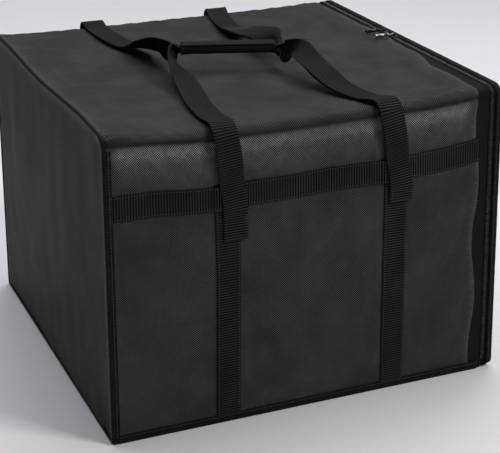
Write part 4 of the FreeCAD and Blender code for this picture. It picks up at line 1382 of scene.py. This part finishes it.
def foam_pad(node, body, axis, side):
    """A foam sheet with soft edges, and a little room under the fabric on its outer side."""
    low, high = (np.array(c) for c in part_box(node))
    room = 2 * MM
    low[axis] += room * (side < 0)
    high[axis] -= room * (side > 0)
    points, faces = rounded_box(low, high, 2.2 * MM, 16 * MM)
    if axis == 0:
        half, turn = high[1], ROLL
        across = (np.abs(points[:, 1]) - half) / turn + 1
        upward = (points[:, 2] - high[2]) / turn + 1
        at_corner = (across > 0) & (upward > 0)
        new_across, new_upward = round_off(across, upward)
        sign = np.sign(points[:, 1])
        points[:, 1] += np.where(at_corner, sign * (new_across - across) * turn, 0)
        points[:, 2] += np.where(at_corner, (new_upward - upward) * turn, 0)
    points += (hills(points, 70 * MM, 51) * 0.25 * MM)[:, None]
    pad = make(node + "_pad", soften(points), faces, FOAM)
    settle_piece(pad, body, "foam", node)


def crumple(grid, seed, height):
    """Film on foam wrinkles into flat facets with soft ridges between them."""
    ridges = 1 - np.abs(hills(grid, 46 * MM, seed)) * 2
    small = 1 - np.abs(hills(grid, 19 * MM, seed + 1)) * 2
    return height * (0.6 * np.clip(ridges, 0, 1) ** 3 + 0.35 * np.clip(small, 0, 1) ** 3
                     + 0.4 * hills(grid, 90 * MM, seed + 2))


def cavity_lining():
    """One foil-faced sheet round the inside, turned out over the foam at the door's opening."""
    low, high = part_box("bottom_liner")
    front_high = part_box("front_liner")[1]
    floor_level, roof_level = high.z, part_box("top_liner")[0].z
    half = -front_high.y
    path, out, at = ring(half, floor_level, roof_level, 9 * MM, 9 * MM, 6 * MM)
    end = front_high.x
    lip = end + np.array([-0.6, 0.5, 1.2, 1.6, 1.8]) * MM
    x = np.concatenate([np.linspace(low.x - 0.6 * MM, end - 2 * MM, 80), lip])
    flare = np.concatenate([np.zeros(80), np.array([0.2, 0.9, 2.2, 5.0, 9.5]) * MM])
    under = smooth((-out[:, 1] - 0.5) / 0.4)
    xx = x[None, :] + under[:, None] * 2.2 * MM * smooth((x - end + 14 * MM) / (12 * MM))[None, :]
    yz = path[:, None] + out[:, None] * flare[None, :, None]
    grid = np.stack([xx, yz[..., 0], yz[..., 1]], -1)
    calm = smooth((end - 4 * MM - x) / (20 * MM)) * smooth((x - low.x) / (20 * MM))
    move = crumple(grid, 61, 1.1 * MM) * calm[None, :]
    grid[..., 1:] -= out[:, None] * move[..., None]
    uv = grid_uv(x, at)
    piece = shell("cavity_lining", soften(grid), 0.5 * MM, FOIL, uv, close_rows=True)
    settle_piece(piece, "bag", "foil", "front_liner", "back_liner", "top_liner", "bottom_liner")

    inner_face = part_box("left_liner")[1].x
    panel, uv = panel_grid(inner_face, half, floor_level, roof_level, 9 * MM, 9 * MM, 7 * MM, 1)
    edge = edge_distance(panel, half, floor_level, roof_level)
    panel[..., 0] += crumple(panel, 71, 1.1 * MM) * smooth(edge / (20 * MM)) - 0.2 * MM
    piece = shell("end_lining", soften(panel), 0.5 * MM, FOIL, uv)
    settle_piece(piece, "bag", "foil", "left_liner")


def door_lining():
    """The foil-faced sheet on the door's inner side, turned back round its edges."""
    low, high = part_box("door_liner")
    panel, uv = panel_grid(low.x, high.y, low.z, high.z, 8 * MM, 8 * MM, 7 * MM, -1)
    edge = edge_distance(panel, high.y, low.z, high.z)
    turn = 6 * MM
    panel[..., 0] += turn * (1 - np.sqrt(1 - np.square(1 - np.clip(edge / turn, 0, 1)))) + 0.2 * MM
    panel[..., 0] -= crumple(panel, 81, 0.9 * MM) * smooth((edge - turn) / (16 * MM)) - 0.2 * MM
    piece = shell("door_lining", soften(panel), 0.5 * MM, FOIL, uv)
    settle_piece(piece, "door", "foil", "door_liner")


# ---------------------------------------------------------------- grip

def grip_arch(along):
    """The grip bows up a little in its middle and its ends flare: rise, and size as a share."""
    t = along / (GRIP_LENGTH / 2)
    rise = 0.15 * MM * (1 - t * t) - 0.2 * MM
    size = 1 + 0.16 * smooth((abs(t) - 0.9) / 0.1) - 0.03 * bell((abs(t) - 0.7) / 0.1)
    return rise, size + 0.015 * math.sin(along / (5.5 * MM) + 0.8)


def grip_sleeve():
    """Fabric sleeve round both handles, open at its two ends."""
    stations = np.linspace(-GRIP_LENGTH / 2, GRIP_LENGTH / 2, 70)
    section = squircle(GRIP_DEPTH / 2, GRIP_HEIGHT / 2, 40, 3.0)
    wall = 1.1 * MM

    def rings(shrink, order):
        made = []
        for along in order:
            rise, size = grip_arch(along)
            flat = section * size * (1 - shrink * np.array([2 / GRIP_DEPTH, 2 / GRIP_HEIGHT]))
            made.append([tuple(grip_point(along, a, GRIP_HEIGHT / 2 + rise + b)) for a, b in flat])
        return np.array(made)

    sections = np.concatenate([rings(0, stations), rings(wall, stations[::-1])])
    around = np.linspace(0, 2 * (GRIP_DEPTH + GRIP_HEIGHT), 40)
    along = np.concatenate([stations, stations[::-1]])
    uv = grid_uv(around, along)
    sleeve = loft("grip_sleeve_fabric", sections, GRIP_CLOTH, uv, closed=True)
    settle_piece(sleeve, "handle", "outer_fabric", "grip_sleeve")


def flap_point(along, across):
    """A point on the flap's upper side: it lies over the sleeve's round top."""
    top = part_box("grip_flap")[1].z
    rise, _ = grip_arch(along)
    side = across / (GRIP_DEPTH / 2)
    drop = 3.6 * MM * (1 - np.sqrt(1 - 0.86 * min(side * side, 1.0)))
    corner = 0.7 * MM * smooth((abs(along) / (GRIP_LENGTH / 2) - 0.94) / 0.06)
    return grip_point(along, across, top - sleeve_low.z + 0.5 * rise - drop - corner)


def grip_flap():
    """The sleeve's closing flap, with a row of stitches just inside its free edges."""
    low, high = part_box("grip_flap")
    u = np.linspace(-1, 1, 60)
    v = np.linspace(1, -1, 19)
    along = u[:, None] * GRIP_LENGTH / 2 * (1 - 0.012 * v[None, :] ** 4)
    across = np.broadcast_to(v[None, :] * (GRIP_DEPTH / 2 + 0.6 * MM), along.shape)
    grid = np.array([[tuple(flap_point(a, c)) for a, c in zip(*row)] for row in zip(along, across)])
    uv = np.stack([across, along], -1)
    wear = np.broadcast_to(smooth((np.abs(v) - 0.75) / 0.25)[None, :] * 0.6, along.shape)
    flap = shell("grip_flap_fabric", grid, (high.z - low.z) * 0.8, GRIP_CLOTH, uv, wear)
    settle_piece(flap, "grip_flap", "outer_fabric", "grip_flap")
    rows = []
    stations = np.linspace(-0.96, 0.96, 60) * GRIP_LENGTH / 2
    for across in (-GRIP_DEPTH / 2 + 1.2 * MM, GRIP_DEPTH / 2 - 1.6 * MM):
        line = np.array([tuple(flap_point(a, across)) for a in stations])
        rows.append((line, np.tile([0.0, 0.0, 1.0], (60, 1))))
    stitches("grip_flap_stitches", rows, "grip_flap", "outer_fabric", 3.0 * MM, 0.25 * MM, True, DARK_THREAD)


# ---------------------------------------------------------------- the pieces

# node, body, and the axis and side that face outwards
FOAM_PADS = (("front_foam", "bag", 1, -1), ("back_foam", "bag", 1, 1), ("top_foam", "bag", 2, 1),
             ("left_foam", "bag", 0, -1), ("bottom_foam", "bag", 2, 0), ("door_foam", "door", 0, 1))

sew_wrap_edges()
for mirrored, end in ((False, "front"), (True, "back")):
    for x, side in ((STRAP_X, "left"), (-STRAP_X, "right")):
        wrap_strap("%s_%s_upright_strap" % (end, side), x, mirrored)
    cross_band(end + "_band", mirrored)
    hem(end + "_bottom_binding", end + "_bottom_binding", 1 if mirrored else -1)
handle("front_handle_strap", FRONT_LEGS, -1)
handle("back_handle_strap", BACK_LEGS, 1)
edge_binding("left_seam_binding", "left_seam_binding", LEFT_FACE, 0.0, SEAM_INNER - LEFT_FACE, 2.5 * MM,
             LEFT_TAPE, "bag")
edge_binding("door_binding", "door_binding", DOOR_FACE, DOOR_FOOT, DOOR_FACE - RIM_INNER, 6.5 * MM,
             DOOR_TAPE, "door")
zip_tape("body_zip_tape", tape_box["body"][0].x - 20 * MM, ZIP_X - 0.15 * MM, "bag")
zip_tape("door_zip_tape", ZIP_X + 0.15 * MM, tape_box["door"][1].x + 1.5 * MM, "door")
zip_coil("body_zip_coil", -1, "bag")
zip_coil("door_zip_coil", 1, "door")
# The rear pull gets the dark metal and the front one the bright: painted shade on a copy of the same pull.
for end, paint in (("front", METAL), ("rear", DARK_METAL)):
    slider(end + "_slider")
    pull(end + "_pull", end + "_slider", paint)
door_gusset()
bottom_fabric()
hinge_strip()
for node, body, axis, side in FOAM_PADS:
    foam_pad(node, body, axis, side)
cavity_lining()
door_lining()
grip_sleeve()
grip_flap()
for node, paint in (("base_board", BOARD), ("zip_end_stops", DARK_METAL), ("grip_loop_patch", LOOPS),
                    ("grip_hook_patch", HOOKS)):
    frame["nodes"][node].data.materials.clear()
    frame["nodes"][node].data.materials.append(paint)

# ---------------------------------------------------------------- camera, light and floor

OVERHEAD_POWER, KEY_POWER, WORLD_STRENGTH = 68, 46, 0.13
CAMERA_PLACE = (-0.6678, -1.6651, 0.8738)
CAMERA_TURN = (22.53, 22.23, -0.33)         # yaw, pitch and roll, in degrees
LENS = 104.93


def studio():
    """A pale floor, a wide lamp overhead, a small key lamp in front and a dim world."""
    floor = make("floor", [(-8, -8, 0), (8, -8, 0), (8, 8, 0), (-8, 8, 0)], [(0, 1, 2, 3)],
                 floor_paint("floor_paint"))

    def lamp(name, place, aim, size, power, colour):
        light = bpy.data.lights.new(name, "AREA")
        light.shape = "RECTANGLE"
        light.size, light.size_y = size
        light.energy = power
        light.color = colour
        obj = bpy.data.objects.new(name, light)
        obj.location = place
        obj.rotation_euler = (Vector(aim) - Vector(place)).to_track_quat("-Z", "Y").to_euler()
        bpy.context.scene.collection.objects.link(obj)

    lamp("overhead", (0.3, 0.9, 2.6), (0.0, 0.1, 0.3), (3.2, 2.6), OVERHEAD_POWER, (1.0, 0.965, 1.06))
    lamp("front_key", (1.5, -1.9, 2.5), (0.0, -0.2, 0.3), (0.8, 0.6), KEY_POWER, (1.0, 1.0, 0.93))
    world = bpy.data.worlds.new("studio")
    world.use_nodes = True
    world.node_tree.nodes["Background"].inputs[0].default_value = (0.95, 0.97, 1.0, 1)
    world.node_tree.nodes["Background"].inputs[1].default_value = WORLD_STRENGTH
    bpy.context.scene.world = world
    bpy.context.scene.view_settings.view_transform = "Standard"


def camera():
    """Looks down on the front and the left side."""
    yaw, pitch, roll = (math.radians(a) for a in CAMERA_TURN)
    forward = Vector((math.sin(yaw) * math.cos(pitch), math.cos(yaw) * math.cos(pitch), -math.sin(pitch)))
    right = Vector((math.cos(yaw), -math.sin(yaw), 0))
    up = right.cross(forward)
    turned_right = right * math.cos(roll) + up * math.sin(roll)
    turned_up = up * math.cos(roll) - right * math.sin(roll)
    data = bpy.data.cameras.new("camera")
    data.sensor_width = 36
    data.lens = LENS
    eye = bpy.data.objects.new("camera", data)
    matrix = eye.matrix_world.to_3x3()
    for row in range(3):
        matrix[row] = (turned_right[row], turned_up[row], -forward[row])
    eye.matrix_world = matrix.to_4x4()
    eye.location = CAMERA_PLACE
    bpy.context.scene.collection.objects.link(eye)
    bpy.context.scene.camera = eye


studio()
camera()
